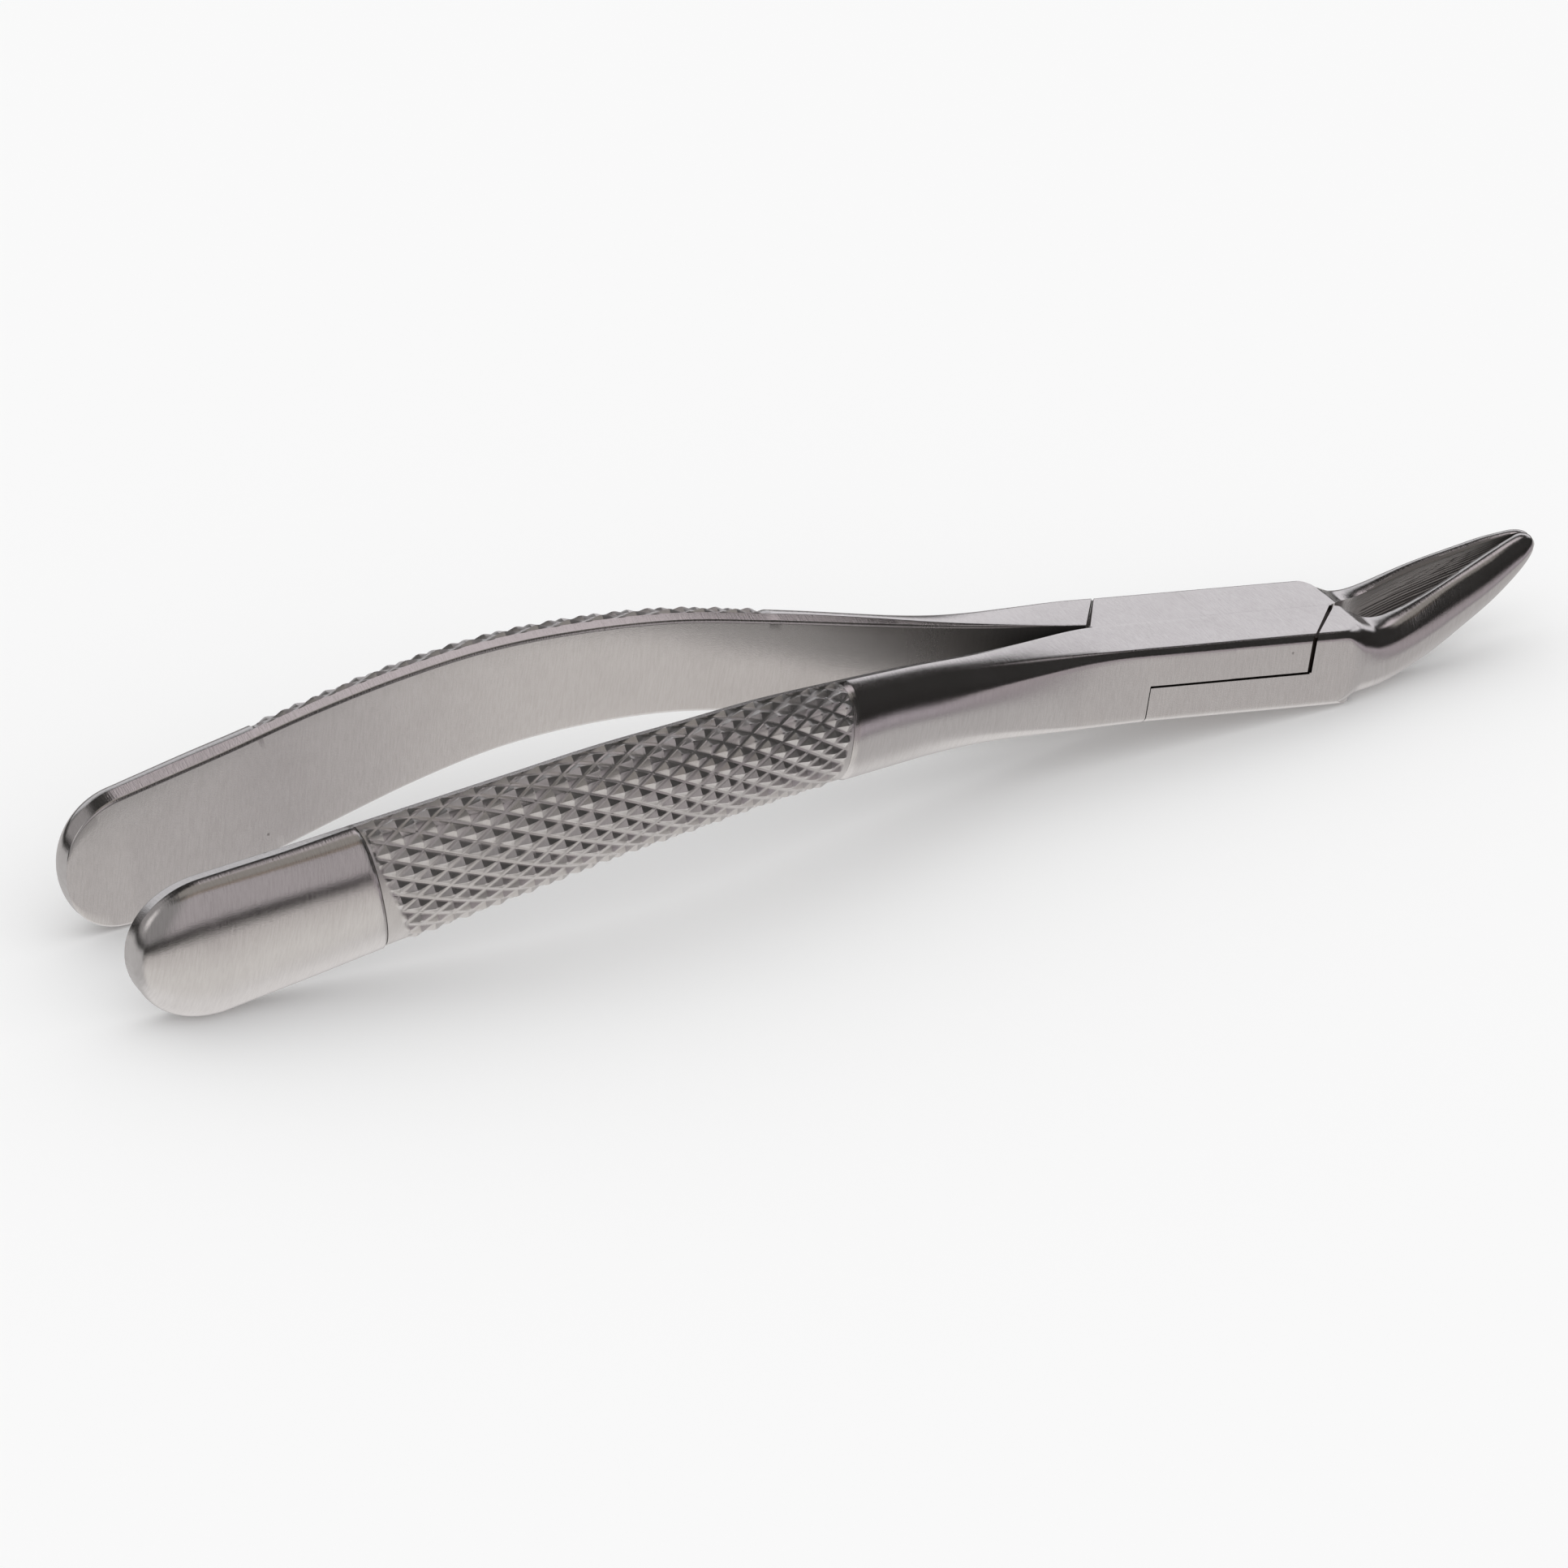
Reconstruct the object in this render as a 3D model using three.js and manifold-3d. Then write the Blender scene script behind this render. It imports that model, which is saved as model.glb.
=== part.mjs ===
// Dental extraction forceps, upper universal pattern, closed and resting on a flat surface.
// Two one-piece forged halves cross in a lap joint and turn on a flush rivet pin.
// Modelled in a joint frame (pin at the origin, +X to the beak tips, +Z along the pin),
// then tilted so that the handle ends and the bend under the joint rest on Z = 0.
import * as THREE from "three";
import { mergeVertices } from "three/addons/utils/BufferGeometryUtils.js";
import Module from "manifold-3d";

const wasm = await Module();
wasm.setup();

// ---- driving dimensions, millimetres and degrees ----
const JOINT_HALF_WIDTH = 6.75;
const JOINT_HALF_HEIGHT = 4.2;
const EDGE_ROUND = 0.8;
const BACK_SHOULDER = { radius: 11.85, angle: 33.3 };   // distance of the line from the pin axis
const FRONT_SHOULDER = { radius: 11.6, angle: 41.5 };   // and lean of its normal from the X axis
const GAP = 0.15;                   // half of the clearance between neighbours
const PIN_RADIUS = 2.7;
const PIN_HEAD_RADIUS = 3.9;
const PIN_HEAD_DEPTH = 1.3;
const PIN_PRESS_GAP = 0.03;
const PIN_RUN_GAP = 0.08;
const KNURL_START = -103.1;
const KNURL_END = -47.9;
const KNURL_STEP = 0.22;            // the knurled stretch stands this much below the smooth ends
const STRIP_WIDTH = 1.3;            // flat margin beside the inner face of a grip
const STRIP_LIFT = 0.37;
const REST_TILT = 8.8;             // turn about Y that brings the handles and the joint level

// Grip and shank: station along X, centre height, half height across the axis,
// distance of the inner face from the middle plane, depth from inner to outer side.
const HANDLE = [
  { x: -116.8, mid: -17.0, half: 7.3, gap: 8.6, depth: 5.0 },
  { x: -105.0, mid: -13.0, half: 6.85, gap: 9.7, depth: 5.2 },
  { x: -95.5, mid: -9.8, half: 6.6, gap: 10.7, depth: 5.0 },
  { x: -86.0, mid: -6.7, half: 6.2, gap: 11.3, depth: 5.4 },
  { x: -76.5, mid: -4.0, half: 5.8, gap: 11.3, depth: 5.7 },
  { x: -67.0, mid: -2.2, half: 5.45, gap: 10.6, depth: 6.0 },
  { x: -57.5, mid: -1.0, half: 5.2, gap: 9.1, depth: 6.0 },
  { x: -48.0, mid: -0.7, half: 5.0, gap: 7.05, depth: 5.5 },
  { x: -38.5, mid: -0.6, half: 4.8, gap: 4.6, depth: 5.3 },
  { x: -29.0, mid: -0.5, half: 4.5, gap: 2.1, depth: 5.9 },
  { x: -19.5, mid: -0.25, half: 4.4, gap: GAP, depth: 6.9 },
  { x: -10.0, mid: -0.15, half: 4.35, gap: GAP, depth: 6.75 },
  { x: 0.0, mid: 0.0, half: 4.2, gap: GAP, depth: 6.6 },
];
const HANDLE_END_RADIUS = 7.4;

// Beak: station along X, top of the rim, bottom, rim distance from the middle plane,
// outer side, hollow of the inner face, swell of the outer corners, squareness.
const BEAK = [
  { x: 0.0, top: 4.2, bottom: -4.2, rim: GAP, side: 6.75, hollow: 0.0, crown: 0.0, power: 9.0 },
  { x: 13.4, top: 4.2, bottom: -4.2, rim: GAP, side: 6.75, hollow: 0.0, crown: 0.0, power: 9.0 },
  { x: 15.2, top: 4.2, bottom: -4.1, rim: GAP, side: 6.6, hollow: 0.0, crown: 0.0, power: 8.0 },
  { x: 16.3, top: 4.15, bottom: -3.9, rim: 0.5, side: 6.1, hollow: 0.1, crown: 0.05, power: 6.0 },
  { x: 17.3, top: 3.95, bottom: -3.7, rim: 1.5, side: 5.7, hollow: 0.3, crown: 0.2, power: 3.4 },
  { x: 18.4, top: 3.65, bottom: -3.5, rim: 2.2, side: 5.6, hollow: 0.6, crown: 0.4, power: 2.9 },
  { x: 20.0, top: 3.75, bottom: -3.1, rim: 2.45, side: 5.6, hollow: 0.9, crown: 0.5, power: 2.7 },
  { x: 22.0, top: 4.4, bottom: -2.4, rim: 2.45, side: 5.5, hollow: 1.1, crown: 0.5, power: 2.6 },
  { x: 24.0, top: 5.3, bottom: -1.5, rim: 2.4, side: 5.35, hollow: 1.1, crown: 0.5, power: 2.6 },
  { x: 26.0, top: 6.2, bottom: -0.5, rim: 2.2, side: 5.15, hollow: 1.1, crown: 0.5, power: 2.6 },
  { x: 28.0, top: 7.1, bottom: 0.6, rim: 1.9, side: 4.8, hollow: 1.0, crown: 0.45, power: 2.6 },
  { x: 30.0, top: 7.95, bottom: 1.8, rim: 1.5, side: 4.4, hollow: 0.95, crown: 0.4, power: 2.6 },
  { x: 32.0, top: 8.8, bottom: 2.95, rim: 1.1, side: 3.95, hollow: 0.85, crown: 0.35, power: 2.6 },
  { x: 34.0, top: 9.65, bottom: 4.2, rim: 0.75, side: 3.4, hollow: 0.7, crown: 0.3, power: 2.6 },
  { x: 36.0, top: 10.4, bottom: 5.6, rim: 0.35, side: 2.7, hollow: 0.5, crown: 0.2, power: 2.5 },
  { x: 37.4, top: 10.75, bottom: 6.9, rim: GAP, side: 2.2, hollow: 0.3, crown: 0.15, power: 2.4 },
  { x: 38.5, top: 10.6, bottom: 8.1, rim: GAP, side: 1.5, hollow: 0.1, crown: 0.1, power: 2.3 },
  { x: 39.1, top: 10.1, bottom: 9.1, rim: GAP, side: 0.8, hollow: 0.0, crown: 0.0, power: 2.2 },
];

// Smooth value of one field of a station list at x, by cubic Hermite pieces.
function along(stations, field, x) {
  const last = stations.length - 1;
  if (x <= stations[0].x) {
    return stations[0][field];
  }
  if (x >= stations[last].x) {
    return stations[last][field];
  }
  let i = 0;
  while (stations[i + 1].x < x) {
    i += 1;
  }
  const slope = (k) => {
    const a = stations[Math.max(k - 1, 0)];
    const b = stations[Math.min(k + 1, last)];
    return (b[field] - a[field]) / (b.x - a.x);
  };
  const p = stations[i];
  const q = stations[i + 1];
  const w = q.x - p.x;
  const t = (x - p.x) / w;
  const h00 = 2 * t ** 3 - 3 * t ** 2 + 1;
  const h10 = t ** 3 - 2 * t ** 2 + t;
  const h01 = -2 * t ** 3 + 3 * t ** 2;
  const h11 = t ** 3 - t ** 2;
  return h00 * p[field] + h10 * w * slope(i) + h01 * q[field] + h11 * w * slope(i + 1);
}

// Linear blend from a to b as x runs from x0 to x1, held constant outside.
function blend(x, x0, x1, a, b) {
  const t = Math.min(Math.max((x - x0) / (x1 - x0), 0), 1);
  return a + (b - a) * t * t * (3 - 2 * t);
}

// Position-only triangle soup to a manifold solid, turned outward if needed.
function solidFromTriangles(positions) {
  let geometry = new THREE.BufferGeometry();
  geometry.setAttribute("position", new THREE.Float32BufferAttribute(positions, 3));
  geometry = mergeVertices(geometry, 1e-5);
  const points = geometry.attributes.position.array;
  const index = Uint32Array.from(geometry.index.array);
  let volume = 0;
  for (let t = 0; t < index.length; t += 3) {
    const [a, b, c] = [0, 1, 2].map((k) => new THREE.Vector3().fromArray(points, 3 * index[t + k]));
    volume += a.dot(b.cross(c));
  }
  if (volume < 0) {
    for (let t = 0; t < index.length; t += 3) {
      [index[t], index[t + 1]] = [index[t + 1], index[t]];
    }
  }
  return new wasm.Manifold(new wasm.Mesh({
    numProp: 3,
    vertProperties: Float32Array.from(points),
    triVerts: index,
  }));
}

// Closed skin over rings that all have the same number of points; both ends are capped.
function loft(rings) {
  const out = [];
  const add = (a, b, c) => out.push(...a, ...b, ...c);
  const middle = (ring) => ring
    .reduce((m, p) => [m[0] + p[0], m[1] + p[1], m[2] + p[2]], [0, 0, 0])
    .map((v) => v / ring.length);
  for (let i = 0; i + 1 < rings.length; i += 1) {
    const n = rings[i].length;
    for (let k = 0; k < n; k += 1) {
      const m = (k + 1) % n;
      add(rings[i][k], rings[i + 1][k], rings[i + 1][m]);
      add(rings[i][k], rings[i + 1][m], rings[i][m]);
    }
  }
  const first = rings[0];
  const end = rings[rings.length - 1];
  for (let k = 0; k < first.length; k += 1) {
    const m = (k + 1) % first.length;
    add(middle(first), first[k], first[m]);
    add(middle(end), end[m], end[k]);
  }
  return solidFromTriangles(out);
}

// Upright prism over a plan outline, from z0 to z1.
function prism(outline, z0, z1) {
  const at = (z) => outline.map(([x, y]) => [x, y, z]);
  const faces = THREE.ShapeUtils.triangulateShape(outline.map(([x, y]) => new THREE.Vector2(x, y)), []);
  const low = at(z0);
  const high = at(z1);
  const out = [];
  const n = outline.length;
  for (let k = 0; k < n; k += 1) {
    const m = (k + 1) % n;
    out.push(...low[k], ...low[m], ...high[m]);
    out.push(...low[k], ...high[m], ...high[k]);
  }
  const ccw = THREE.ShapeUtils.area(outline.map(([x, y]) => ({ x, y }))) > 0;
  for (const [a, b, c] of faces) {
    out.push(...(ccw ? [...low[a], ...low[c], ...low[b]] : [...low[a], ...low[b], ...low[c]]));
    out.push(...(ccw ? [...high[a], ...high[b], ...high[c]] : [...high[a], ...high[c], ...high[b]]));
  }
  return solidFromTriangles(out);
}

// One cross-section of a grip, as a ring across the handle axis.
// side is -1 for the near handle and +1 for the far one.
function handleRing(x, side, shrink, sink) {
  const clampX = Math.max(x, HANDLE[0].x);
  const mid = along(HANDLE, "mid", clampX);
  const slope = (along(HANDLE, "mid", clampX + 0.5) - along(HANDLE, "mid", clampX - 0.5)) / 1.0;
  const angle = Math.atan(x < HANDLE[1].x ? Math.max(slope, 0.27) : slope);
  const half = along(HANDLE, "half", clampX) * shrink;
  const inner = Math.max(along(HANDLE, "gap", clampX), GAP);
  const depth = along(HANDLE, "depth", clampX);
  const strip = blend(x, -44, -22, STRIP_WIDTH, 0.6);
  const lift = blend(x, -44, -22, STRIP_LIFT, 0.0) * shrink;
  const power = blend(x, -50, -12, 2.3, 9.0);
  const dome = (depth - strip) * (0.12 + 0.88 * shrink) - sink;
  const ring = [];
  const put = (y, n) => ring.push([
    x - n * Math.sin(angle),
    side * (inner + y),
    mid + (x - clampX) * Math.tan(angle) + n * Math.cos(angle),
  ]);
  put(0, -half);
  for (let k = 0; k <= 16; k += 1) {
    const a = -Math.PI / 2 + (Math.PI * k) / 16;
    const c = Math.max(Math.cos(a), 0) ** (2 / power);
    const s = Math.sign(Math.sin(a)) * Math.abs(Math.sin(a)) ** (2 / power);
    put(strip + dome * c, (half + lift) * s);
  }
  put(0, half);
  return ring;
}

// Grip and shank of one half, from the rounded end to the middle of the joint.
function handleBody(side) {
  const rings = [];
  const endX = HANDLE[0].x;
  const rounds = 9;
  for (let k = 0; k < rounds; k += 1) {
    const a = (Math.PI / 2) * (k / rounds);
    const x = endX - HANDLE_END_RADIUS * 0.985 * Math.cos(a) * Math.cos(0.28);
    rings.push(handleRing(x, side, Math.max(Math.sin(a), 0.12), 0));
  }
  const stops = [endX, -114, -109, KNURL_START - 0.35];
  stops.forEach((x) => rings.push(handleRing(x, side, 1, 0)));
  const cuts = 14;
  for (let k = 0; k <= cuts; k += 1) {
    const x = KNURL_START + ((KNURL_END - KNURL_START) * k) / cuts;
    rings.push(handleRing(x, side, 1, KNURL_STEP));
  }
  rings.push(handleRing(KNURL_END + 0.35, side, 1, 0));
  for (let x = -44; x < -8; x += 4) {
    rings.push(handleRing(x, side, 1, 0));
  }
  rings.push(handleRing(-10, side, 1, 0));
  rings.push(handleRing(0, side, 1, 0));
  return loft(rings.sort((a, b) => a[0][0] - b[0][0]));
}

// One cross-section of a beak.
function beakRing(x, side) {
  const get = (field) => along(BEAK, field, x);
  const top = get("top");
  const bottom = get("bottom");
  const mid = (top + bottom) / 2;
  const half = (top - bottom) / 2;
  const rim = get("rim");
  const out = get("side") - rim;
  const power = get("power");
  const ring = [];
  for (let k = 0; k <= 6; k += 1) {
    const t = 1 - (2 * k) / 6;
    ring.push([x, side * (rim + get("hollow") * (1 - t * t)), mid + half * t]);
  }
  for (let k = 1; k < 16; k += 1) {
    const a = -Math.PI / 2 + (Math.PI * k) / 16;
    const c = Math.max(Math.cos(a), 0) ** (2 / power);
    const s = Math.sign(Math.sin(a)) * Math.abs(Math.sin(a)) ** (2 / power);
    const bulge = get("crown") * 4 * c * (1 - c) * Math.sign(s);
    ring.push([x, side * (rim + out * c), mid + half * s + bulge]);
  }
  return ring;
}

// Beak of one half, from the middle of the joint to the tip.
function beakBody(side) {
  return loft(BEAK.map((station) => beakRing(station.x, side)));
}

// X of a shoulder line at distance y from the middle plane, moved out from the pin by grow.
function shoulderX(shoulder, y, grow) {
  const angle = THREE.MathUtils.degToRad(shoulder.angle);
  return (shoulder.radius + grow - y * Math.sin(angle)) / Math.cos(angle);
}

// Plan of the room that one half leaves free for the other half's plate.
// flip is +1 for the lower room of half_over and -1 for the upper room of half_under.
function roomOutline(flip) {
  const far = 12;
  return [
    [-shoulderX(BACK_SHOULDER, 0, GAP), 0],
    [-shoulderX(BACK_SHOULDER, far, GAP), -far * flip],
    [30, -far * flip],
    [30, 0],
    [shoulderX(FRONT_SHOULDER, 0, GAP), 0],
    [shoulderX(FRONT_SHOULDER, far, GAP), far * flip],
    [-30, far * flip],
    [-30, 0],
  ];
}

// Plan of one lap plate between its two shoulders.
function plateOutline(flip) {
  const w = JOINT_HALF_WIDTH;
  return [
    [-shoulderX(BACK_SHOULDER, 0, -GAP), 0],
    [-shoulderX(BACK_SHOULDER, 0, -GAP), -w * flip],
    [shoulderX(FRONT_SHOULDER, w, -GAP), -w * flip],
    [shoulderX(FRONT_SHOULDER, 0, -GAP), 0],
    [13.2, w * flip],
    [-shoulderX(BACK_SHOULDER, w, -GAP), w * flip],
  ];
}

// Flat bar with rounded outer edges, cut down to a plate; level is +1 for the upper plate.
function plateBody(level) {
  const w = JOINT_HALF_WIDTH;
  const h = JOINT_HALF_HEIGHT;
  const profile = [[-w, GAP]];
  for (let k = 0; k <= 4; k += 1) {
    const a = (Math.PI / 2) * (k / 4);
    profile.push([-w + EDGE_ROUND * (1 - Math.cos(a)), h - EDGE_ROUND * (1 - Math.sin(a))]);
  }
  for (let k = 4; k >= 0; k -= 1) {
    const a = (Math.PI / 2) * (k / 4);
    profile.push([w - EDGE_ROUND * (1 - Math.cos(a)), h - EDGE_ROUND * (1 - Math.sin(a))]);
  }
  profile.push([w, GAP]);
  const ring = (x) => profile.map(([y, z]) => [x, y, level * z]);
  const bar = loft([ring(-18), ring(18)]);
  const outline = plateOutline(level);
  return bar.intersect(prism(outline, -9, 9));
}

// Solid of revolution about the pin axis, from [radius, z] pairs listed bottom to top.
function turned(profile, sides) {
  const rings = profile.map(([r, z]) => {
    const ring = [];
    for (let k = 0; k < sides; k += 1) {
      const a = (2 * Math.PI * k) / sides;
      ring.push([r * Math.cos(a), r * Math.sin(a), z]);
    }
    return ring;
  });
  return loft(rings);
}

function pinBody(grow, overrun) {
  const h = JOINT_HALF_HEIGHT;
  return turned([
    [PIN_HEAD_RADIUS + grow + overrun, -h - overrun],
    [PIN_RADIUS + grow, -h + PIN_HEAD_DEPTH],
    [PIN_RADIUS + grow, h - PIN_HEAD_DEPTH],
    [PIN_HEAD_RADIUS + grow + overrun, h + overrun],
  ], 48);
}

// One complete half. level is +1 for the half whose plate is on top.
function halfBody(level) {
  const handleSide = -level;
  const room = prism(roomOutline(level), level > 0 ? -12 : -GAP, level > 0 ? GAP : 12);
  const arms = handleBody(handleSide).add(beakBody(-handleSide)).subtract(room);
  const hole = pinBody(level > 0 ? PIN_PRESS_GAP : PIN_RUN_GAP, 0.4);
  return arms.add(plateBody(level)).subtract(hole);
}

function meshFrom(solid, name, color, roughness) {
  const mesh = solid.getMesh();
  const geometry = new THREE.BufferGeometry();
  geometry.setAttribute("position", new THREE.BufferAttribute(Float32Array.from(mesh.vertProperties), 3));
  geometry.setIndex(new THREE.BufferAttribute(Uint32Array.from(mesh.triVerts), 1));
  geometry.rotateY(THREE.MathUtils.degToRad(REST_TILT));
  const material = new THREE.MeshStandardMaterial({ color, roughness, metalness: 1.0 });
  const out = new THREE.Mesh(geometry, material);
  out.name = name;
  material.name = name;
  return out;
}

const forceps = new THREE.Group();
forceps.name = "extraction_forceps";
forceps.add(meshFrom(halfBody(1), "half_over", 0xb9b1ad, 0.34));
forceps.add(meshFrom(halfBody(-1), "half_under", 0xb9b1ad, 0.34));
forceps.add(meshFrom(pinBody(0, 0), "pivot_pin", 0xc4bebc, 0.3));

// Put the origin at the middle of the bounding box's bottom.
const box = new THREE.Box3().setFromObject(forceps);
const shift = new THREE.Vector3(-(box.min.x + box.max.x) / 2, -(box.min.y + box.max.y) / 2, -box.min.z);
forceps.children.forEach((mesh) => mesh.geometry.translate(shift.x, shift.y, shift.z));

export default forceps;
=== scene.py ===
"""Upper universal dental extraction forceps, lying closed on a pale table.

Two satin stainless forgings cross in a lap joint and turn on a rivet that is ground flush.
Sizes are millimetres in the joint frame: the rivet's middle is the origin, +X runs to the
beak tips, +Z runs along the rivet, and the near handle is on the -Y side. JointFrame turns
them into metres in the row frame, where the forceps rest on Z = 0.
"""
import logging
import math
from dataclasses import dataclass
from enum import Enum
from typing import Any, Iterator, Sequence

import bmesh
import bpy
import numpy as np
from mathutils import Matrix, Vector


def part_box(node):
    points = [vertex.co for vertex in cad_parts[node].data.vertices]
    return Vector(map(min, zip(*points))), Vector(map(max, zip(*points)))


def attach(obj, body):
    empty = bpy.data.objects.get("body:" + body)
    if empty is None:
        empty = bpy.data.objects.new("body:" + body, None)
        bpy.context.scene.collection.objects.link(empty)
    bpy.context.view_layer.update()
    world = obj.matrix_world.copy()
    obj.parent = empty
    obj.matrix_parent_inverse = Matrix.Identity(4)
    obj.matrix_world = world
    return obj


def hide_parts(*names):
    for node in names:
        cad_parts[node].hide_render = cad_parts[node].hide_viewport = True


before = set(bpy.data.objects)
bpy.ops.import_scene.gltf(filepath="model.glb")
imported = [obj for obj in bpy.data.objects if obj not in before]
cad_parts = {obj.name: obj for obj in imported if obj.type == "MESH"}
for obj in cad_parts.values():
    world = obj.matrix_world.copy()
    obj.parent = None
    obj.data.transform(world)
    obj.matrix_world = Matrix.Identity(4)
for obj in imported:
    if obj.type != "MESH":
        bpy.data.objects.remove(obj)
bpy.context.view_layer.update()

LOG = logging.getLogger("forceps")
MM = 0.001

# ---------------------------------------------------------------- options and stations


class Side(Enum):
    """Which side of the middle plane an arm lies on."""

    NEAR = -1
    FAR = 1


class Level(Enum):
    """Which of the two lap plates a half carries."""

    UPPER = 1
    LOWER = -1


@dataclass(frozen=True)
class GripStation:
    """Cross-section sizes of a handle at one place along it."""

    x: float
    mid: float
    half: float
    gap: float
    depth: float


@dataclass(frozen=True)
class BeakStation:
    """Cross-section sizes of a beak at one place along it."""

    x: float
    top: float
    bottom: float
    rim: float
    side: float
    hollow: float
    crown: float


GAP = 0.15
GRIP_STATIONS = (
    GripStation(-116.8, -17.0, 7.3, 8.6, 5.0),
    GripStation(-105.0, -13.0, 6.85, 9.7, 5.2),
    GripStation(-95.5, -9.8, 6.6, 10.7, 5.0),
    GripStation(-86.0, -6.7, 6.2, 11.3, 5.4),
    GripStation(-76.5, -4.0, 5.8, 11.3, 5.7),
    GripStation(-67.0, -2.2, 5.45, 10.6, 6.0),
    GripStation(-57.5, -1.0, 5.2, 9.1, 6.0),
    GripStation(-48.0, -0.7, 5.0, 7.05, 5.5),
    GripStation(-38.5, -0.6, 4.8, 4.9, 5.0),
    GripStation(-29.0, -0.5, 4.5, 3.1, 4.9),
    GripStation(-19.5, -0.25, 4.4, 1.2, 5.85),
    GripStation(-14.5, -0.06, 4.26, 0.35, 6.5),
    GripStation(-10.0, 0.0, 4.2, GAP, 6.63),
    GripStation(0.0, 0.0, 4.2, GAP, 6.63),
)
BEAK_STATIONS = (
    BeakStation(0.0, 4.2, -4.2, GAP, 6.75, 0.0, 0.0),
    BeakStation(13.4, 4.2, -4.2, GAP, 6.75, 0.0, 0.0),
    BeakStation(15.2, 4.2, -4.1, GAP, 6.73, 0.0, 0.0),
    BeakStation(16.1, 4.2, -3.95, 0.4, 6.66, 0.1, 0.02),
    BeakStation(17.0, 3.9, -3.75, 1.2, 6.57, 0.3, 0.1),
    BeakStation(18.2, 3.55, -3.5, 2.1, 6.42, 0.6, 0.25),
    BeakStation(20.0, 3.7, -3.1, 2.45, 6.15, 0.9, 0.4),
    BeakStation(22.0, 4.4, -2.4, 2.45, 5.85, 1.1, 0.5),
    BeakStation(24.0, 5.3, -1.5, 2.4, 5.55, 1.1, 0.5),
    BeakStation(26.0, 6.2, -0.5, 2.2, 5.2, 1.1, 0.5),
    BeakStation(28.0, 7.1, 0.6, 1.9, 4.8, 1.0, 0.45),
    BeakStation(30.0, 7.95, 1.8, 1.5, 4.4, 0.95, 0.4),
    BeakStation(32.0, 8.8, 2.95, 1.1, 3.95, 0.85, 0.35),
    BeakStation(34.0, 9.65, 4.2, 0.75, 3.4, 0.7, 0.3),
    BeakStation(36.0, 10.4, 5.6, 0.35, 2.7, 0.5, 0.2),
    BeakStation(37.4, 10.75, 6.9, 0.08, 2.2, 0.3, 0.15),
    BeakStation(38.5, 10.6, 8.1, 0.08, 1.5, 0.1, 0.1),
    BeakStation(39.1, 10.1, 9.1, 0.08, 0.8, 0.0, 0.0),
)


def along(stations: Sequence[Any], name: str, x: float) -> float:
    """Value of one station field at x, by cubic Hermite pieces.

    Args:
        stations: stations in order of x.
        name: field to read.
        x: place along the instrument.

    Returns:
        The smooth value, held constant past both ends.
    """
    last = len(stations) - 1
    if x <= stations[0].x:
        return getattr(stations[0], name)
    if x >= stations[last].x:
        return getattr(stations[last], name)
    i = 0
    while stations[i + 1].x < x:
        i += 1

    def slope(k: int) -> float:
        """Slope through the neighbours of station k."""
        a, b = stations[max(k - 1, 0)], stations[min(k + 1, last)]
        return (getattr(b, name) - getattr(a, name)) / (b.x - a.x)

    p, q = stations[i], stations[i + 1]
    w = q.x - p.x
    t = (x - p.x) / w
    return (
        (2 * t**3 - 3 * t**2 + 1) * getattr(p, name)
        + (t**3 - 2 * t**2 + t) * w * slope(i)
        + (3 * t**2 - 2 * t**3) * getattr(q, name)
        + (t**3 - t**2) * w * slope(i + 1)
    )


def ease(x: float, x0: float, x1: float, a: float, b: float) -> float:
    """Soft blend from a to b as x runs from x0 to x1.

    Args:
        x: place to read.
        x0: where the blend starts.
        x1: where it ends.
        a: value before x0.
        b: value after x1.

    Returns:
        The blended value.
    """
    t = min(max((x - x0) / (x1 - x0), 0.0), 1.0)
    return a + (b - a) * t * t * (3 - 2 * t)


# ---------------------------------------------------------------- frames and meshes


@dataclass(frozen=True)
class JointFrame:
    """Turns joint-frame millimetres into row-frame metres."""

    tilt_deg: float = 8.8

    def matrix(self) -> np.ndarray:
        """Rotation about +Y that lays the forceps on the table."""
        t = math.radians(self.tilt_deg)
        return np.array([[math.cos(t), 0, math.sin(t)], [0, 1, 0], [-math.sin(t), 0, math.cos(t)]])

    def pin(self) -> np.ndarray:
        """Middle of the rivet in row-frame metres."""
        low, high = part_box("pivot_pin")
        return (np.array(low) + np.array(high)) / 2

    def to_row(self, points: np.ndarray) -> np.ndarray:
        """Points in joint-frame millimetres as row-frame metres."""
        return points @ self.matrix().T * MM + self.pin()

    def to_joint(self, points: np.ndarray) -> np.ndarray:
        """Points in row-frame metres as joint-frame millimetres."""
        return ((points - self.pin()) / MM) @ self.matrix()


FRAME = JointFrame()


def mesh_object(name: str, points: np.ndarray, faces: Sequence[Sequence[int]]) -> bpy.types.Object:
    """New object from joint-frame points, with its faces turned outward.

    Args:
        name: object name.
        points: vertices in millimetres, joint frame.
        faces: vertex numbers of each face.

    Returns:
        The object, at the origin, with its place in its mesh.
    """
    mesh = bpy.data.meshes.new(name)
    mesh.from_pydata(FRAME.to_row(np.asarray(points, float)).tolist(), [], [list(f) for f in faces])
    work = bmesh.new()
    work.from_mesh(mesh)
    bmesh.ops.recalc_face_normals(work, faces=work.faces)
    work.to_mesh(mesh)
    work.free()
    mesh.update()
    obj = bpy.data.objects.new(name, mesh)
    bpy.context.scene.collection.objects.link(obj)
    return obj


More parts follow.
